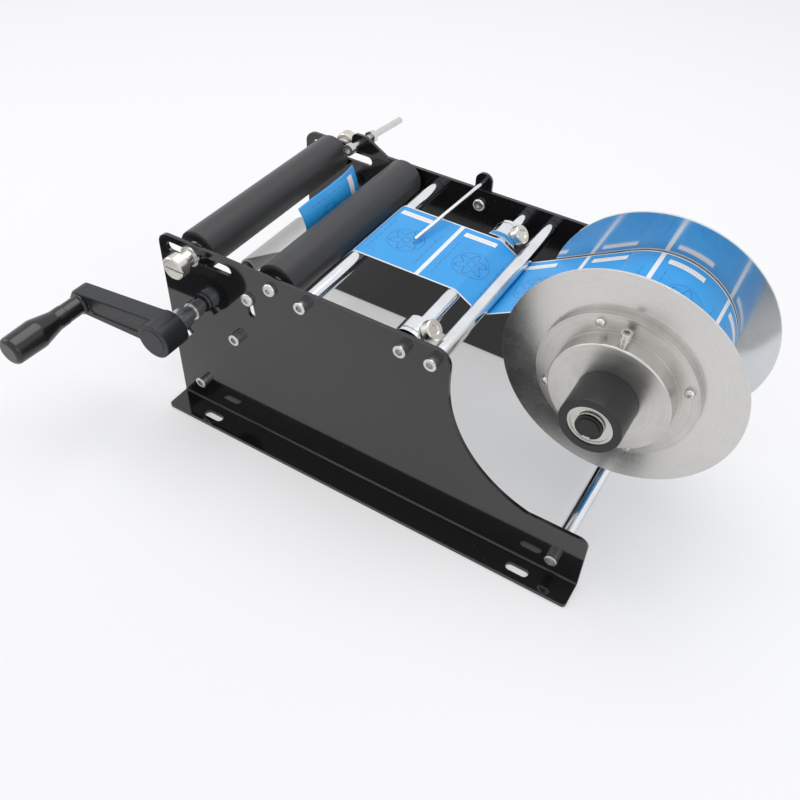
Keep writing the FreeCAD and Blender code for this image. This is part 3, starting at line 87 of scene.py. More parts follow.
def blend_colours(tree, amount, first, second):
    """One colour mix, given and giving sockets."""
    made = tree.nodes.new("ShaderNodeMix")
    made.data_type = "RGBA"
    for socket, value in ((made.inputs[0], amount), (made.inputs[6], first), (made.inputs[7], second)):
        if isinstance(value, bpy.types.NodeSocket):
            tree.links.new(value, socket)
        elif isinstance(value, tuple):
            socket.default_value = (*value, 1.0)
        else:
            socket.default_value = value
    return made.outputs[2]


def seen_ray(tree):
    """1 for what the camera sees itself, or in gloss, or through glass."""
    ray = shade(tree, "LightPath")
    gloss = calc(tree, "MAXIMUM", ray.outputs["Is Glossy Ray"], ray.outputs["Is Transmission Ray"])
    return calc(tree, "MAXIMUM", ray.outputs["Is Camera Ray"], gloss)


def build_mesh(name, points, faces, *materials):
    """A new object at the origin from points and faces."""
    mesh = bpy.data.meshes.new(name)
    mesh.from_pydata(points, [], faces)
    for material in materials:
        mesh.materials.append(material)
    piece = bpy.data.objects.new(name, mesh)
    bpy.context.scene.collection.objects.link(piece)
    return piece


table_paper = bpy.data.materials.new("table_paper")
table_paper.use_nodes = True
tree = table_paper.node_tree
seen = seen_ray(tree)
surface = tree.nodes["Principled BSDF"]
surface.inputs["Base Color"].default_value = (0.90, 0.90, 0.915, 1)
surface.inputs["Roughness"].default_value = 0.55
surface.inputs["Specular IOR Level"].default_value = 0.2
bright = shade(tree, "Emission", Color=(1.0, 1.0, 1.0, 1.0), Strength=1.0)
lifted = shade(tree, "MixShader", Fac=calc(tree, "MULTIPLY", seen, 0.4))
tree.links.new(surface.outputs[0], lifted.inputs[1])
tree.links.new(bright.outputs[0], lifted.inputs[2])
tree.links.new(lifted.outputs[0], tree.nodes["Material Output"].inputs["Surface"])
corners = [(x * FLOOR_HALF, y * FLOOR_HALF, -0.0004) for x, y in ((-1, -1), (1, -1), (1, 1), (-1, 1))]
table = build_mesh("table", corners, [(0, 1, 2, 3)], table_paper)

world = bpy.data.worlds.new("light_tent")
bpy.context.scene.world = world
world.use_nodes = True
tree = world.node_tree
tent = tree.nodes["Background"]
tent.inputs["Color"].default_value = (0.97, 0.98, 1.0, 1)
seen = seen_ray(tree)
strength = calc(tree, "ADD", calc(tree, "MULTIPLY", seen, 1.0 - TENT_LIGHT), TENT_LIGHT)
tree.links.new(strength, tent.inputs["Strength"])

for name, (place, size, power) in LAMPS.items():
    lamp = bpy.data.lights.new(name, "AREA")
    lamp.shape = "RECTANGLE"
    lamp.size, lamp.size_y = size
    lamp.energy = power
    stand = bpy.data.objects.new(name, lamp)
    stand.location = place
    stand.rotation_euler = Vector(place).to_track_quat("Z", "Y").to_euler()
    bpy.context.scene.collection.objects.link(stand)

camera = bpy.data.objects.new("camera", bpy.data.cameras.new("camera"))
camera.data.lens = 39.47
camera.data.sensor_width = 36.0
camera.data.shift_x = -0.0011
camera.data.shift_y = -0.0309
camera.data.clip_end = 20.0
facing = Matrix.Rotation(CAMERA_TURN, 4, "Z") @ Matrix.Rotation(pi / 2 - CAMERA_LOOK_DOWN, 4, "X")
camera.matrix_world = Matrix.Translation(CAMERA_PLACE) @ facing @ Matrix.Rotation(CAMERA_ROLL, 4, "Z")
bpy.context.scene.collection.objects.link(camera)
bpy.context.scene.camera = camera
bpy.context.scene.view_settings.view_transform = "Standard"

# ---- Side plates
# Two laser-cut 3 mm steel plates with a folded foot flange, in glossy black powder coat that
# has a slight orange peel and a little dust; thin bright lines where light catches the edges come from
# rounded edge normals and a painted highlight that lightens the colour along the edges.
COAT_BLACK = (0.0075, 0.0075, 0.0085)
DUST_GREY = (0.16, 0.16, 0.17)


def effect(name, inputs, outputs):
    """An empty shader node group with named sockets; gives the tree, its inputs and its output."""
    group = bpy.data.node_groups.new(name, "ShaderNodeTree")
    for label, kind, value in inputs:
        socket = group.interface.new_socket(label, in_out="INPUT", socket_type="NodeSocket" + kind)
        if value is not None:
            socket.default_value = value
    for label, kind in outputs:
        group.interface.new_socket(label, in_out="OUTPUT", socket_type="NodeSocket" + kind)
    entry = group.nodes.new("NodeGroupInput")
    return group, entry.outputs, group.nodes.new("NodeGroupOutput").inputs


def use_effect(tree, group, **inputs):
    """Places a shared effect in a material with its own values."""
    made = shade(tree, "Group", {"node_tree": group}, **inputs)
    return made.outputs


def new_finish(name, **fixed):
    """A material and its shader, with the constants that hold all over it."""
    material = bpy.data.materials.new(name)
    material.use_nodes = True
    shader = material.node_tree.nodes["Principled BSDF"]
    for label, value in fixed.items():
        value = (*value, 1.0) if isinstance(value, tuple) else value
        shader.inputs[label.replace("_", " ")].default_value = value
    return material, material.node_tree, shader


def own_place(tree, centre=(0, 0, 0), scale=(1, 1, 1)):
    """Object coordinates, measured from a centre."""
    place = shade(tree, "TexCoord").outputs["Object"]
    moved = shade(tree, "VectorMath", {"operation": "SUBTRACT"})
    tree.links.new(place, moved.inputs[0])
    moved.inputs[1].default_value = centre
    return shade(tree, "Mapping", Vector=moved.outputs[0], Scale=scale).outputs[0]


def vary_colour(tree, shader, amount, first, second):
    """Base colour between two colours."""
    tree.links.new(blend_colours(tree, amount, first, second), shader.inputs["Base Color"])


def vary_shine(tree, shader, amount, spread, least):
    """Roughness that rises from its least value by a share of the spread."""
    share = calc(tree, "MULTIPLY", amount, spread)
    tree.links.new(calc(tree, "ADD", share, least), shader.inputs["Roughness"])


def raise_skin(tree, shader, **relief):
    """A Bump node that feeds the shader's normal."""
    tree.links.new(shade(tree, "Bump", **relief).outputs[0], shader.inputs["Normal"])


def dress(material, *names):
    """Gives a material to CAD nodes."""
    for name in names:
        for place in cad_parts[name].material_slots:
            place.material = material


# Fine relief: small bumps and a slow change of tone.
fine_relief, given, made = effect(
    "fine_relief",
    (("Vector", "Vector", None), ("Scale", "Float", 900.0), ("Drift", "Float", 25.0)),
    (("Height", "Float"), ("Tone", "Float")),
)
place = given["Vector"]
bumps = shade(fine_relief, "TexNoise", Vector=place, Scale=given["Scale"], Detail=3.0, Roughness=0.55)
drift = shade(fine_relief, "TexNoise", Vector=place, Scale=given["Drift"], Detail=4.0, Roughness=0.6)
fine_relief.links.new(bumps.outputs[0], made["Height"])
fine_relief.links.new(drift.outputs[0], made["Tone"])

# Dust: single specks, one in some of the cells of a fine random net.
dust, given, made = effect(
    "dust",
    (
        ("Vector", "Vector", None),
        ("Scale", "Float", 260.0),
        ("Size", "Float", 0.09),
        ("Share", "Float", 0.12),
    ),
    (("Mask", "Float"),),
)
cells = shade(dust, "TexVoronoi", Vector=given["Vector"], Scale=given["Scale"])
near = calc(dust, "LESS_THAN", cells.outputs["Distance"], given["Size"])
chosen = shade(dust, "SeparateColor", Color=cells.outputs["Color"])
picked = calc(dust, "LESS_THAN", chosen.outputs[0], given["Share"])
dust.links.new(calc(dust, "MULTIPLY", near, picked), made["Mask"])

# Edge light: how far a rounded edge turns away from the flat face beside it; the mask lightens colours along
# edges as a painted highlight, and the normal rounds the edges.
edge_light, given, made = effect(
    "edge_light",
    (("Radius", "Float", 0.0006), ("Gain", "Float", 4.0)),
    (("Mask", "Float"), ("Normal", "Vector")),
)
rounded = shade(edge_light, "Bevel", {"samples": 6}, Radius=given["Radius"])
flat = shade(edge_light, "NewGeometry")
agree = shade(edge_light, "VectorMath", {"operation": "DOT_PRODUCT"})
edge_light.links.new(rounded.outputs[0], agree.inputs[0])
edge_light.links.new(flat.outputs["Normal"], agree.inputs[1])
turned_off = calc(edge_light, "SUBTRACT", 1.0, agree.outputs["Value"])
limited = calc(edge_light, "MINIMUM", calc(edge_light, "MULTIPLY", turned_off, given["Gain"]), 1.0)
edge_light.links.new(limited, made["Mask"])
edge_light.links.new(rounded.outputs[0], made["Normal"])

black_coat, tree, shader = new_finish("black_coat", Specular_IOR_Level=0.5, IOR=1.5, Coat_Weight=0.25)
shader.inputs["Coat Roughness"].default_value = 0.03
place = own_place(tree)
relief = use_effect(tree, fine_relief, Vector=place, Scale=420.0, Drift=9.0)
specks = use_effect(tree, dust, Vector=place)
edges = use_effect(tree, edge_light, Radius=0.0008, Gain=3.0)
coat_tone = blend_colours(tree, relief["Tone"], COAT_BLACK, (0.011, 0.011, 0.012))
# Painted highlight: the coat's colour is lightened along the edges, where light catches them.
painted_edge_highlight = calc(tree, "MULTIPLY", edges["Mask"], 0.5)
edge_lit_tone = blend_colours(tree, painted_edge_highlight, coat_tone, (0.035, 0.035, 0.037))
vary_colour(tree, shader, calc(tree, "MULTIPLY", specks["Mask"], 0.6), edge_lit_tone, DUST_GREY)
vary_shine(tree, shader, relief["Tone"], 0.06, 0.05)
raise_skin(tree, shader, Strength=0.035, Distance=0.0004, Height=relief["Height"], Normal=edges["Normal"])
dress(black_coat, "crank_side_plate", "far_side_plate")

# ---- Guide rods and tie rods
# Six bright drawn-steel rods, chromed, each tapped at both ends and held between the plates
# by a screw; fine grinding marks run round them.
CHROME = (0.80, 0.81, 0.83)
METAL_EDGE = 0.0003

turned_lines, given, made = effect(
    "turned_lines",
    (("Vector", "Vector", None), ("Fineness", "Float", 4000.0), ("Wander", "Float", 60.0)),
    (("Height", "Float"), ("Tone", "Float")),
)
axes = shade(turned_lines, "SeparateXYZ", Vector=given["Vector"])
square = calc(turned_lines, "ADD", calc(turned_lines, "POWER", axes.outputs[0], 2.0),
              calc(turned_lines, "POWER", axes.outputs[2], 2.0))
reach = calc(turned_lines, "SQRT", square)
lathe = shade(turned_lines, "CombineXYZ", X=reach, Y=axes.outputs[1])
lines = shade(turned_lines, "TexNoise", Vector=lathe.outputs[0], Scale=given["Fineness"], Detail=2.0)
smears = shade(turned_lines, "TexNoise", Vector=given["Vector"], Scale=given["Wander"], Detail=3.0)
turned_lines.links.new(lines.outputs[0], made["Height"])
turned_lines.links.new(smears.outputs[0], made["Tone"])


def bright_metal(name, colour, dark, rough_low, rough_high, bump, fineness=2500.0, centre=(0, 0, 0)):
    """Turned or ground bare metal: rings round y, a slow change of shine, and soft edges."""
    material, tree, shader = new_finish(name, Metallic=1.0)
    place = own_place(tree, centre)
    rings = use_effect(tree, turned_lines, Vector=place, Fineness=fineness)
    edges = use_effect(tree, edge_light, Radius=METAL_EDGE, Gain=3.0)
    tone = calc(tree, "MULTIPLY", rings["Height"], rings["Tone"])
    tone = calc(tree, "MINIMUM", calc(tree, "MULTIPLY", tone, 3.2), 1.0)
    vary_colour(tree, shader, tone, dark, colour)
    vary_shine(tree, shader, rings["Tone"], rough_high - rough_low, rough_low)
    raise_skin(tree, shader, Strength=bump, Distance=0.0001, Height=rings["Height"], Normal=edges["Normal"])
    return material


chrome_rod = bright_metal("chrome_rod", CHROME, (0.66, 0.67, 0.69), 0.03, 0.16, 0.10)
dress(chrome_rod, "front_guide_rod", "middle_guide_rod", "rear_guide_rod", "middle_tie_rod", "front_tie_rod",
      "rear_tie_rod", "peel_rod", "pointer_rod")

# ---- Screws, nuts and washers
# Plain stainless socket screws, machined, with a dark oily socket; they hold every rod, the
# peel rod and the rear roller's axle to the plates.
screw_steel = bright_metal("screw_steel", (0.66, 0.65, 0.63), (0.50, 0.49, 0.47), 0.16, 0.34, 0.25, 1800.0)
dress(screw_steel, "rod_screws", "peel_rod_screws", "rear_axle_screws", "front_axle_washers",
      "near_hub_screws", "hub_lock_screw", "pointer_fasteners", "reel_shaft_nut", "crank_set_screw",
      "stop_bolt", "stop_lock_nut", "grip_pin")

# ---- Rollers
# A steel tube with a ground charcoal rubber cover, black end plugs with small ball bearings, and
# a fixed steel axle; the front one slides in the plates' slots, the rear one is screwed fast.
roller_rubber, tree, shader = new_finish("roller_rubber", Specular_IOR_Level=0.42, Sheen_Weight=0.15)
place = own_place(tree)
relief = use_effect(tree, fine_relief, Vector=place, Scale=1500.0, Drift=30.0)
rings = use_effect(tree, turned_lines, Vector=place, Fineness=1400.0)
specks = use_effect(tree, dust, Vector=place, Scale=330.0, Size=0.07, Share=0.10)
tone = blend_colours(tree, relief["Tone"], (0.013, 0.0135, 0.0145), (0.022, 0.0225, 0.024))
vary_colour(tree, shader, calc(tree, "MULTIPLY", specks["Mask"], 0.4), tone, (0.20, 0.20, 0.20))
vary_shine(tree, shader, relief["Tone"], 0.14, 0.36)
both = calc(tree, "ADD", relief["Height"], calc(tree, "MULTIPLY", rings["Height"], 0.8))
raise_skin(tree, shader, Strength=0.16, Distance=0.0002, Height=both)
dress(roller_rubber, "front_roller_cover", "rear_roller_cover")

roller_core, tree, shader = new_finish("roller_core", Specular_IOR_Level=0.45)
relief = use_effect(tree, fine_relief, Vector=own_place(tree), Scale=700.0, Drift=60.0)
vary_colour(tree, shader, relief["Tone"], (0.010, 0.010, 0.011), (0.020, 0.020, 0.021))
vary_shine(tree, shader, relief["Tone"], 0.2, 0.25)
raise_skin(tree, shader, Strength=0.1, Distance=0.0002, Height=relief["Height"])
dress(roller_core, "front_roller_core", "rear_roller_core")

bearing_steel = bright_metal("bearing_steel", (0.58, 0.57, 0.54), (0.40, 0.39, 0.37), 0.12, 0.28, 0.3,
                             3000.0)
dress(bearing_steel, "front_roller_bearings", "rear_roller_bearings", "reel_bearings")

axle_steel = bright_metal("axle_steel", (0.60, 0.60, 0.61), (0.46, 0.46, 0.47), 0.14, 0.30, 0.3, 2200.0)
dress(axle_steel, "front_roller_axle", "rear_roller_axle", "front_roller_spacers", "rear_roller_spacers",
      "take_up_bushes", "take_up_shaft")

# ---- Axle knobs and thumb screws
# Knurled nickel-plated knobs: one on each end of the front axle, which clamps the roller in its
# slots, and one small thumb screw in each width collar.
knob_steel = bright_metal("knob_steel", (0.70, 0.67, 0.62), (0.48, 0.46, 0.42), 0.18, 0.36, 0.35, 1600.0)
dress(knob_steel, "crank_side_knob", "far_side_knob", "near_thumb_screw", "far_thumb_screw")

# ---- Crank
# A moulded nylon arm on the take-up shaft, locked by a zinc collar with a set screw; its grip
# turns on a pin, with a smooth sleeve between grip and arm.
def moulded(name, dark, light, rough, gloss, grain, slot_names):
    """Black moulded plastic with a fine pebbled skin and a painted highlight along its edges."""
    material, tree, shader = new_finish(name, Specular_IOR_Level=gloss)
    place = own_place(tree)
    relief = use_effect(tree, fine_relief, Vector=place, Scale=grain, Drift=35.0)
    edges = use_effect(tree, edge_light, Radius=0.0006, Gain=2.5)
    tone = blend_colours(tree, relief["Tone"], dark, light)
    # Painted highlight: the plastic's colour is lightened along the edges, where light catches them.
    edge_highlight_share = calc(tree, "MULTIPLY", edges["Mask"], 0.35)
    vary_colour(tree, shader, edge_highlight_share, tone, (0.06, 0.06, 0.062))
    vary_shine(tree, shader, relief["Tone"], 0.12, rough)
    raise_skin(tree, shader, Strength=0.12, Distance=0.0002, Height=relief["Height"], Normal=edges["Normal"])
    dress(material, *slot_names)
    return material


crank_black = moulded("crank_black", (0.010, 0.011, 0.012), (0.018, 0.019, 0.021), 0.34, 0.45, 1300.0,
                      ("crank_arm", "crank_cap"))
grip_black = moulded("grip_black", (0.006, 0.006, 0.007), (0.010, 0.010, 0.011), 0.14, 0.55, 500.0,
                     ("grip", "grip_sleeve"))
collar_zinc = bright_metal("collar_zinc", (0.52, 0.56, 0.60), (0.38, 0.42, 0.46), 0.18, 0.34, 0.4, 1500.0)
dress(collar_zinc, "crank_collar")

# ---- Take-up core and liner roll
# The empty liner is wound on a black core on the crank's shaft: smooth silicone paper, its
# winding showing as rings on the ends.
def axis_at(low, high):
    """Where the axis of a round node along y crosses the middle plane, from its box."""
    return (low[0] + high[0]) / 2, 0.0, (low[2] + high[2]) / 2


sleeve_black = moulded("sleeve_black", (0.010, 0.010, 0.011), (0.017, 0.017, 0.018), 0.30, 0.45, 900.0,
                       ("reel_sleeve", "take_up_core"))

liner_paper, tree, shader = new_finish("liner_paper", Specular_IOR_Level=0.4, Coat_Weight=0.15)
low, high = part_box("liner_roll")
wound = own_place(tree, axis_at(low, high))
rings = use_effect(tree, turned_lines, Vector=wound, Fineness=3500.0, Wander=45.0)
vary_colour(tree, shader, rings["Tone"], (0.66, 0.66, 0.66), (0.80, 0.80, 0.79))
vary_shine(tree, shader, rings["Tone"], 0.15, 0.28)
raise_skin(tree, shader, Strength=0.08, Distance=0.0002, Height=rings["Height"])
dress(liner_paper, "liner_roll")

# ---- Reel
# Two stainless discs on turned aluminium hubs on a black sleeve with a ball bearing at each
# end; the near disc and hub slide on the sleeve and are locked by a screw.
low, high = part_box("near_disc")
reel_centre = axis_at(low, high)

disc_steel = bright_metal("disc_steel", (0.66, 0.65, 0.63), (0.60, 0.59, 0.57), 0.20, 0.34, 0.05, 1200.0,
                          reel_centre)
dress(disc_steel, "near_disc")
mirror_steel = bright_metal("mirror_steel", (0.66, 0.68, 0.70), (0.60, 0.62, 0.64), 0.06, 0.20, 0.03, 1200.0,
                            reel_centre)
dress(mirror_steel, "far_disc")
hub_metal = bright_metal("hub_metal", (0.62, 0.61, 0.58), (0.46, 0.45, 0.42), 0.24, 0.40, 0.25, 1400.0,
                         reel_centre)
dress(hub_metal, "near_hub", "far_hub")

shaft_black, tree, shader = new_finish("shaft_black", Metallic=0.6)
relief = use_effect(tree, fine_relief, Vector=own_place(tree), Scale=1600.0, Drift=80.0)
vary_colour(tree, shader, relief["Tone"], (0.018, 0.018, 0.018), (0.040, 0.039, 0.037))
vary_shine(tree, shader, relief["Tone"], 0.2, 0.32)
raise_skin(tree, shader, Strength=0.15, Distance=0.0002, Height=relief["Height"])
dress(shaft_black, "reel_shaft", "reel_shaft_ring")

core_card, tree, shader = new_finish("core_card", Specular_IOR_Level=0.3)
relief = use_effect(tree, fine_relief, Vector=own_place(tree), Scale=1200.0, Drift=120.0)
vary_colour(tree, shader, relief["Tone"], (0.36, 0.26, 0.17), (0.48, 0.36, 0.25))
vary_shine(tree, shader, relief["Tone"], 0.1, 0.75)
raise_skin(tree, shader, Strength=0.3, Distance=0.0003, Height=relief["Height"])
dress(core_card, "label_core")

# ---- Width collars
# Two chromed rings with a grooved shoulder on the middle guide rod, which guide the web's edges.
dress(chrome_rod, "near_width_collar", "far_width_collar")

# ---- Pointer
# A steel needle in a small black plate on the far side plate, which shows where a label starts.
dress(black_coat, "pointer_bracket")

# ---- Label roll and web
# Printed labels on a white liner: sky-blue labels with a white margin, a pale panel near the
# far edge and a thin dark line pattern. The web runs off the roll over the guides to the peel
# rod; from there only the bare liner goes on to the take-up core.
LABEL_PITCH = 57.0
LABEL_GAP = 3.4
LABEL_START = 20.0
SKY_BLUE = (0.028, 0.36, 0.80)
DEEP_BLUE = (0.018, 0.27, 0.68)
PAPER_WHITE = (0.80, 0.81, 0.82)
INK = (0.012, 0.035, 0.10)
LABEL_MARGIN_NEAR = 1.2
LABEL_MARGIN_FAR = 74.3
ROSETTE_ACROSS = 34.0
RULE_LEVELS = (6.5, 47.5)
RULE_HALF = 0.22
WEB_THICK = 0.0002
WEB_LIFT = 0.00015
ARC_STEP = radians(5)
PEEL_STOP = 5
SHARP_EDGE = radians(40)


def within(tree, value, low, high):
    """1 where a value lies between two limits."""
    above = calc(tree, "GREATER_THAN", value, low)
    return calc(tree, "MULTIPLY", above, calc(tree, "LESS_THAN", value, high))


def line_at(tree, value, centre, half):
    """1 along a thin line where a value is near its centre."""
    return calc(tree, "LESS_THAN", calc(tree, "ABSOLUTE", calc(tree, "SUBTRACT", value, centre)), half)


label_print, given, made = effect(
    "label_print",
    (("Across", "Float", 0.0), ("Along", "Float", 0.0), ("Width", "Float", 75.5), ("Tone", "Float", 0.5)),
    (("Colour", "Color"), ("Ink", "Float")),
)
tree = label_print
across = given["Across"]
repeat = calc(tree, "FRACT", calc(tree, "DIVIDE", given["Along"], LABEL_PITCH))
along = calc(tree, "MULTIPLY", repeat, LABEL_PITCH)
length = LABEL_PITCH - LABEL_GAP
inside_margins = within(tree, across, LABEL_MARGIN_NEAR, LABEL_MARGIN_FAR)
label_area = calc(tree, "MULTIPLY", within(tree, along, 0.0, length), inside_margins)
panel = calc(tree, "MULTIPLY", within(tree, along, 22.0, 49.5), within(tree, across, 63.5, 69.0))
panel_rules = calc(tree, "LESS_THAN", calc(tree, "FRACT", calc(tree, "DIVIDE", along, 1.9)), 0.3)
ruled_area = calc(tree, "MULTIPLY", within(tree, along, 25.0, 47.0), within(tree, across, 64.8, 67.6))
panel_rules = calc(tree, "MULTIPLY", panel_rules, ruled_area)
east = calc(tree, "SUBTRACT", across, ROSETTE_ACROSS)
north = calc(tree, "SUBTRACT", along, length / 2)
square = calc(tree, "ADD", calc(tree, "POWER", east, 2.0), calc(tree, "POWER", north, 2.0))
distance = calc(tree, "SQRT", square)
bearing = calc(tree, "ARCTAN2", north, east)
petal = calc(tree, "MULTIPLY", calc(tree, "COSINE", calc(tree, "MULTIPLY", bearing, 6.0)), 3.0)
flower = line_at(tree, calc(tree, "SUBTRACT", distance, petal), 9.5, 0.42)
heart = line_at(tree, distance, 3.4, 0.24)
rim = line_at(tree, distance, 14.6, 0.20)
art = calc(tree, "MAXIMUM", flower, calc(tree, "MAXIMUM", heart, rim))
dashes = calc(tree, "LESS_THAN", calc(tree, "FRACT", calc(tree, "DIVIDE", across, 7.0)), 0.72)
for level in RULE_LEVELS:
    rule = calc(tree, "MULTIPLY", line_at(tree, along, level, RULE_HALF), within(tree, across, 10.0, 56.0))
    art = calc(tree, "MAXIMUM", art, calc(tree, "MULTIPLY", rule, dashes))
art = calc(tree, "MULTIPLY", art, 0.8)
blue = blend_colours(tree, given["Tone"], DEEP_BLUE, SKY_BLUE)
printed = blend_colours(tree, art, blue, INK)
printed = blend_colours(tree, panel, printed, (0.82, 0.80, 0.80))
printed = blend_colours(tree, calc(tree, "MULTIPLY", panel_rules, 0.55), printed, (0.50, 0.36, 0.38))
tree.links.new(blend_colours(tree, label_area, PAPER_WHITE, printed), made["Colour"])
tree.links.new(label_area, made["Ink"])


def printed_paper(name, start):
    """Coated label paper, printed by the piece's own UV map, which is in metres."""
    material, tree, shader = new_finish(name, Specular_IOR_Level=0.45, Coat_Weight=0.12)
    flat = shade(tree, "SeparateXYZ", Vector=shade(tree, "UVMap").outputs[0])
    across = calc(tree, "MULTIPLY", flat.outputs[0], 1000.0)
    along = calc(tree, "ADD", calc(tree, "MULTIPLY", flat.outputs[1], 1000.0), start)
    relief = use_effect(tree, fine_relief, Vector=own_place(tree), Scale=700.0, Drift=38.0)
    art = use_effect(tree, label_print, Across=across, Along=along, Tone=relief["Tone"])
    tree.links.new(art["Colour"], shader.inputs["Base Color"])
    rough = calc(tree, "SUBTRACT", 0.46, calc(tree, "MULTIPLY", art["Ink"], 0.14))
    tree.links.new(rough, shader.inputs["Roughness"])
    grain = calc(tree, "MULTIPLY", relief["Height"], 0.05)
    height = calc(tree, "ADD", grain, calc(tree, "MULTIPLY", art["Ink"], 0.3))
    height = calc(tree, "ADD", height, relief["Tone"])
    raise_skin(tree, shader, Strength=0.25, Distance=0.0006, Height=height)
    return material


def finish_shell(piece):
    """Turns a closed mesh's faces outwards and keeps only its real edges sharp."""
    shaper = bmesh.new()
    shaper.from_mesh(piece.data)
    bmesh.ops.recalc_face_normals(shaper, faces=shaper.faces)
    shaper.to_mesh(piece.data)
    shaper.free()
    piece.data.shade_smooth()
    piece.data.set_sharp_from_angle(angle=SHARP_EDGE)


label_paper = printed_paper("label_paper", LABEL_START)

low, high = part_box("label_roll")
web_near, web_far = low[1], high[1]


def drum(name, over):
    """Centre x, centre z and web radius of a round node that the web passes."""
    low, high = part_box(name)
    return (low[0] + high[0]) / 2, (low[2] + high[2]) / 2, (high[0] - low[0]) / 2 + WEB_LIFT, over


# 1 where the web keeps the drum on its left, -1 on its right, in travel order.
WEB_PATH = (
    drum("label_roll", 1),
    drum("rear_guide_rod", -1),
    drum("middle_guide_rod", 1),
    drum("front_guide_rod", 1),
    drum("rear_roller_cover", -1),
    drum("peel_rod", 1),
    drum("liner_roll", 1),
)
headings = []
for (xa, za, ra, sa), (xb, zb, rb, sb) in zip(WEB_PATH, WEB_PATH[1:]):
    gap = hypot(xb - xa, zb - za)
    headings.append((atan2(zb - za, xb - xa) - asin((sb * rb - sa * ra) / gap)) % (2 * pi))
stations = []
for number, (x, z, radius, side) in enumerate(WEB_PATH):
    arrive = headings[max(number - 1, 0)]
    leave = headings[min(number, len(headings) - 1)]
    steps = max(1, round(abs(leave - arrive) / ARC_STEP))
    for step in range(steps + 1):
        heading = arrive + (leave - arrive) * step / steps
        out = Vector((sin(heading), -cos(heading)))
        stations.append((Vector((x, z)) + out * side * radius, out, number))
travel = [0.0]
for (here, _, _), (there, _, _) in zip(stations, stations[1:]):
    travel.append(travel[-1] + (there - here).length)

points, faces = [], []
for spot, out, _ in stations:
    for face in (1, -1):
        x, z = spot + out * face * WEB_THICK / 2
        points += [(x, web_near, z), (x, web_far, z)]
for number in range(len(stations) - 1):
    a, b = 4 * number, 4 * number + 4
    faces += [(a, b, b + 1, a + 1), (a + 2, a + 3, b + 3, b + 2)]
    faces += [(a, a + 2, b + 2, b), (a + 1, b + 1, b + 3, a + 3)]
last = 4 * (len(stations) - 1)
faces += [(0, 1, 3, 2), (last, last + 2, last + 3, last + 1)]
web = build_mesh("printed_web", points, faces, label_paper, liner_paper)
chart = web.data.uv_layers.new(name="UVMap")
for face in web.data.polygons:
    station = face.index // 4
    peeled = stations[min(station, len(stations) - 1)][2] >= PEEL_STOP
    face.material_index = 1 if peeled or face.index % 4 != 0 else 0
    for loop in face.loop_indices:
        vertex = web.data.loops[loop].vertex_index
        chart.data[loop].uv = (web.data.vertices[vertex].co.y - web_near, travel[vertex // 4])
finish_shell(web)
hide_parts("label_web")
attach(web, "frame")

# The roll: its outer turn carries on the web's print, and its sides show the paper's edges.
roll_edge, tree, shader = new_finish("roll_edge", Specular_IOR_Level=0.3)
rings = use_effect(tree, turned_lines, Vector=own_place(tree, reel_centre), Fineness=5000.0)
vary_colour(tree, shader, rings["Height"], (0.62, 0.68, 0.74), (0.84, 0.85, 0.86))
vary_shine(tree, shader, rings["Tone"], 0.1, 0.6)
raise_skin(tree, shader, Strength=0.3, Distance=0.0002, Height=rings["Height"])

ROLL_STEPS = 240
CORE_FIT = 0.00005
low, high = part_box("label_roll")
roll_radius = (high[0] - low[0]) / 2
low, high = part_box("label_core")
bore_radius = (high[0] - low[0]) / 2 + CORE_FIT
leave = headings[0]
ring = ((roll_radius, web_near), (roll_radius, web_far), (bore_radius, web_far), (bore_radius, web_near))
points, faces = [], []
for step in range(ROLL_STEPS):
    angle = leave - 2 * pi * step / ROLL_STEPS
    out = Vector((sin(angle), -cos(angle)))
    for radius, y in ring:
        points.append((reel_centre[0] + out.x * radius, y, reel_centre[2] + out.y * radius))
for step in range(ROLL_STEPS):
    a, b = 4 * step, 4 * ((step + 1) % ROLL_STEPS)
    for corner in range(4):
        after = (corner + 1) % 4
        faces.append((a + corner, a + after, b + after, b + corner))
roll = build_mesh("printed_roll", points, faces, label_paper, roll_edge)
chart = roll.data.uv_layers.new(name="UVMap")
for face in roll.data.polygons:
    step = face.index // 4
    face.material_index = 0 if face.index % 4 == 0 else 1
    for loop in face.loop_indices:
        vertex = roll.data.loops[loop].vertex_index
        turn = vertex // 4
        turn = ROLL_STEPS if turn == 0 and step == ROLL_STEPS - 1 else turn
        unrolled = -2 * pi * roll_radius * turn / ROLL_STEPS
        chart.data[loop].uv = (roll.data.vertices[vertex].co.y - web_near, unrolled)
finish_shell(roll)
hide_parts("label_roll")
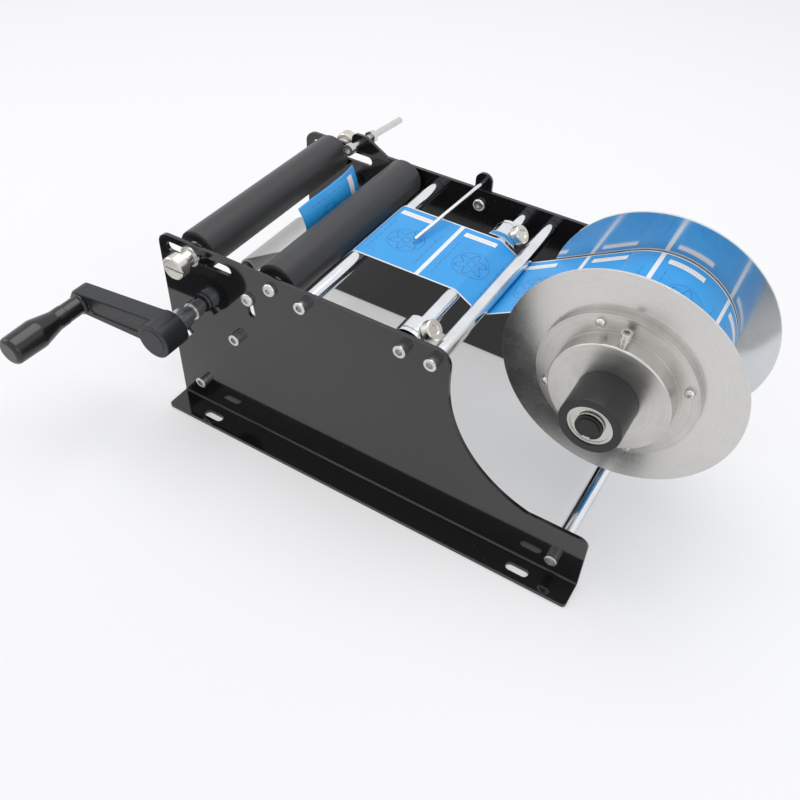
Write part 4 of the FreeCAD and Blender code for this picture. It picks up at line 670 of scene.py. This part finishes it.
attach(roll, "reel")

# ---- Peeled label
# The label that has left its liner: it follows the rear roller up its front, print inwards, and
# its stiff free edge curls away over the gap with the far corner lifted.
CURL_RADIUS = 0.036
PEELED_LENGTH = 0.0275
PEELED_THICK = 0.00018
PEELED_MARGIN = 0.001
ROLLER_GAP = 0.00045
START_BELOW = 0.0035
CORNER_FROM = 0.72
CORNER_RISE = 0.003
RIPPLE = 0.0003
PEELED_STEPS = 18
ACROSS_STEPS = 30
peeled_paper = printed_paper("peeled_paper", 0.0)
low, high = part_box("rear_roller_cover")
level_z = (low[2] + high[2]) / 2
front_x = low[0] - ROLLER_GAP
points, faces, prints = [], [], []
for row in range(PEELED_STEPS + 1):
    up = row / PEELED_STEPS
    for column in range(ACROSS_STEPS + 1):
        side = column / ACROSS_STEPS
        corner = max(0.0, side - CORNER_FROM) / 0.28
        run = up * (PEELED_LENGTH + CORNER_RISE * corner ** 2) - START_BELOW
        bend = CURL_RADIUS * (1 + 0.5 * corner * up)
        turn = max(run, 0.0) / bend
        x = front_x - bend * (1 - cos(turn)) - RIPPLE * sin(side * 9.0) * up
        z = level_z + (bend * sin(turn) if run > 0 else run)
        y = web_near + PEELED_MARGIN + side * (web_far - web_near - 2 * PEELED_MARGIN)
        points.append((x, y, z))
        prints.append((0.0012 + side * 0.0731, 0.0536 - (1 - up) * PEELED_LENGTH))
for row in range(PEELED_STEPS):
    for column in range(ACROSS_STEPS):
        a = row * (ACROSS_STEPS + 1) + column
        b = a + ACROSS_STEPS + 1
        faces.append((a, a + 1, b + 1, b))
peeled = build_mesh("peeled_printed_label", points, faces, peeled_paper, liner_paper)
chart = peeled.data.uv_layers.new(name="UVMap")
for loop in peeled.data.loops:
    chart.data[loop.index].uv = prints[loop.vertex_index]
body = peeled.modifiers.new("thickness", "SOLIDIFY")
body.thickness = PEELED_THICK
body.offset = 1.0
body.material_offset = 1
body.material_offset_rim = 1
peeled.data.shade_smooth()
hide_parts("peeled_label")
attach(peeled, "frame")
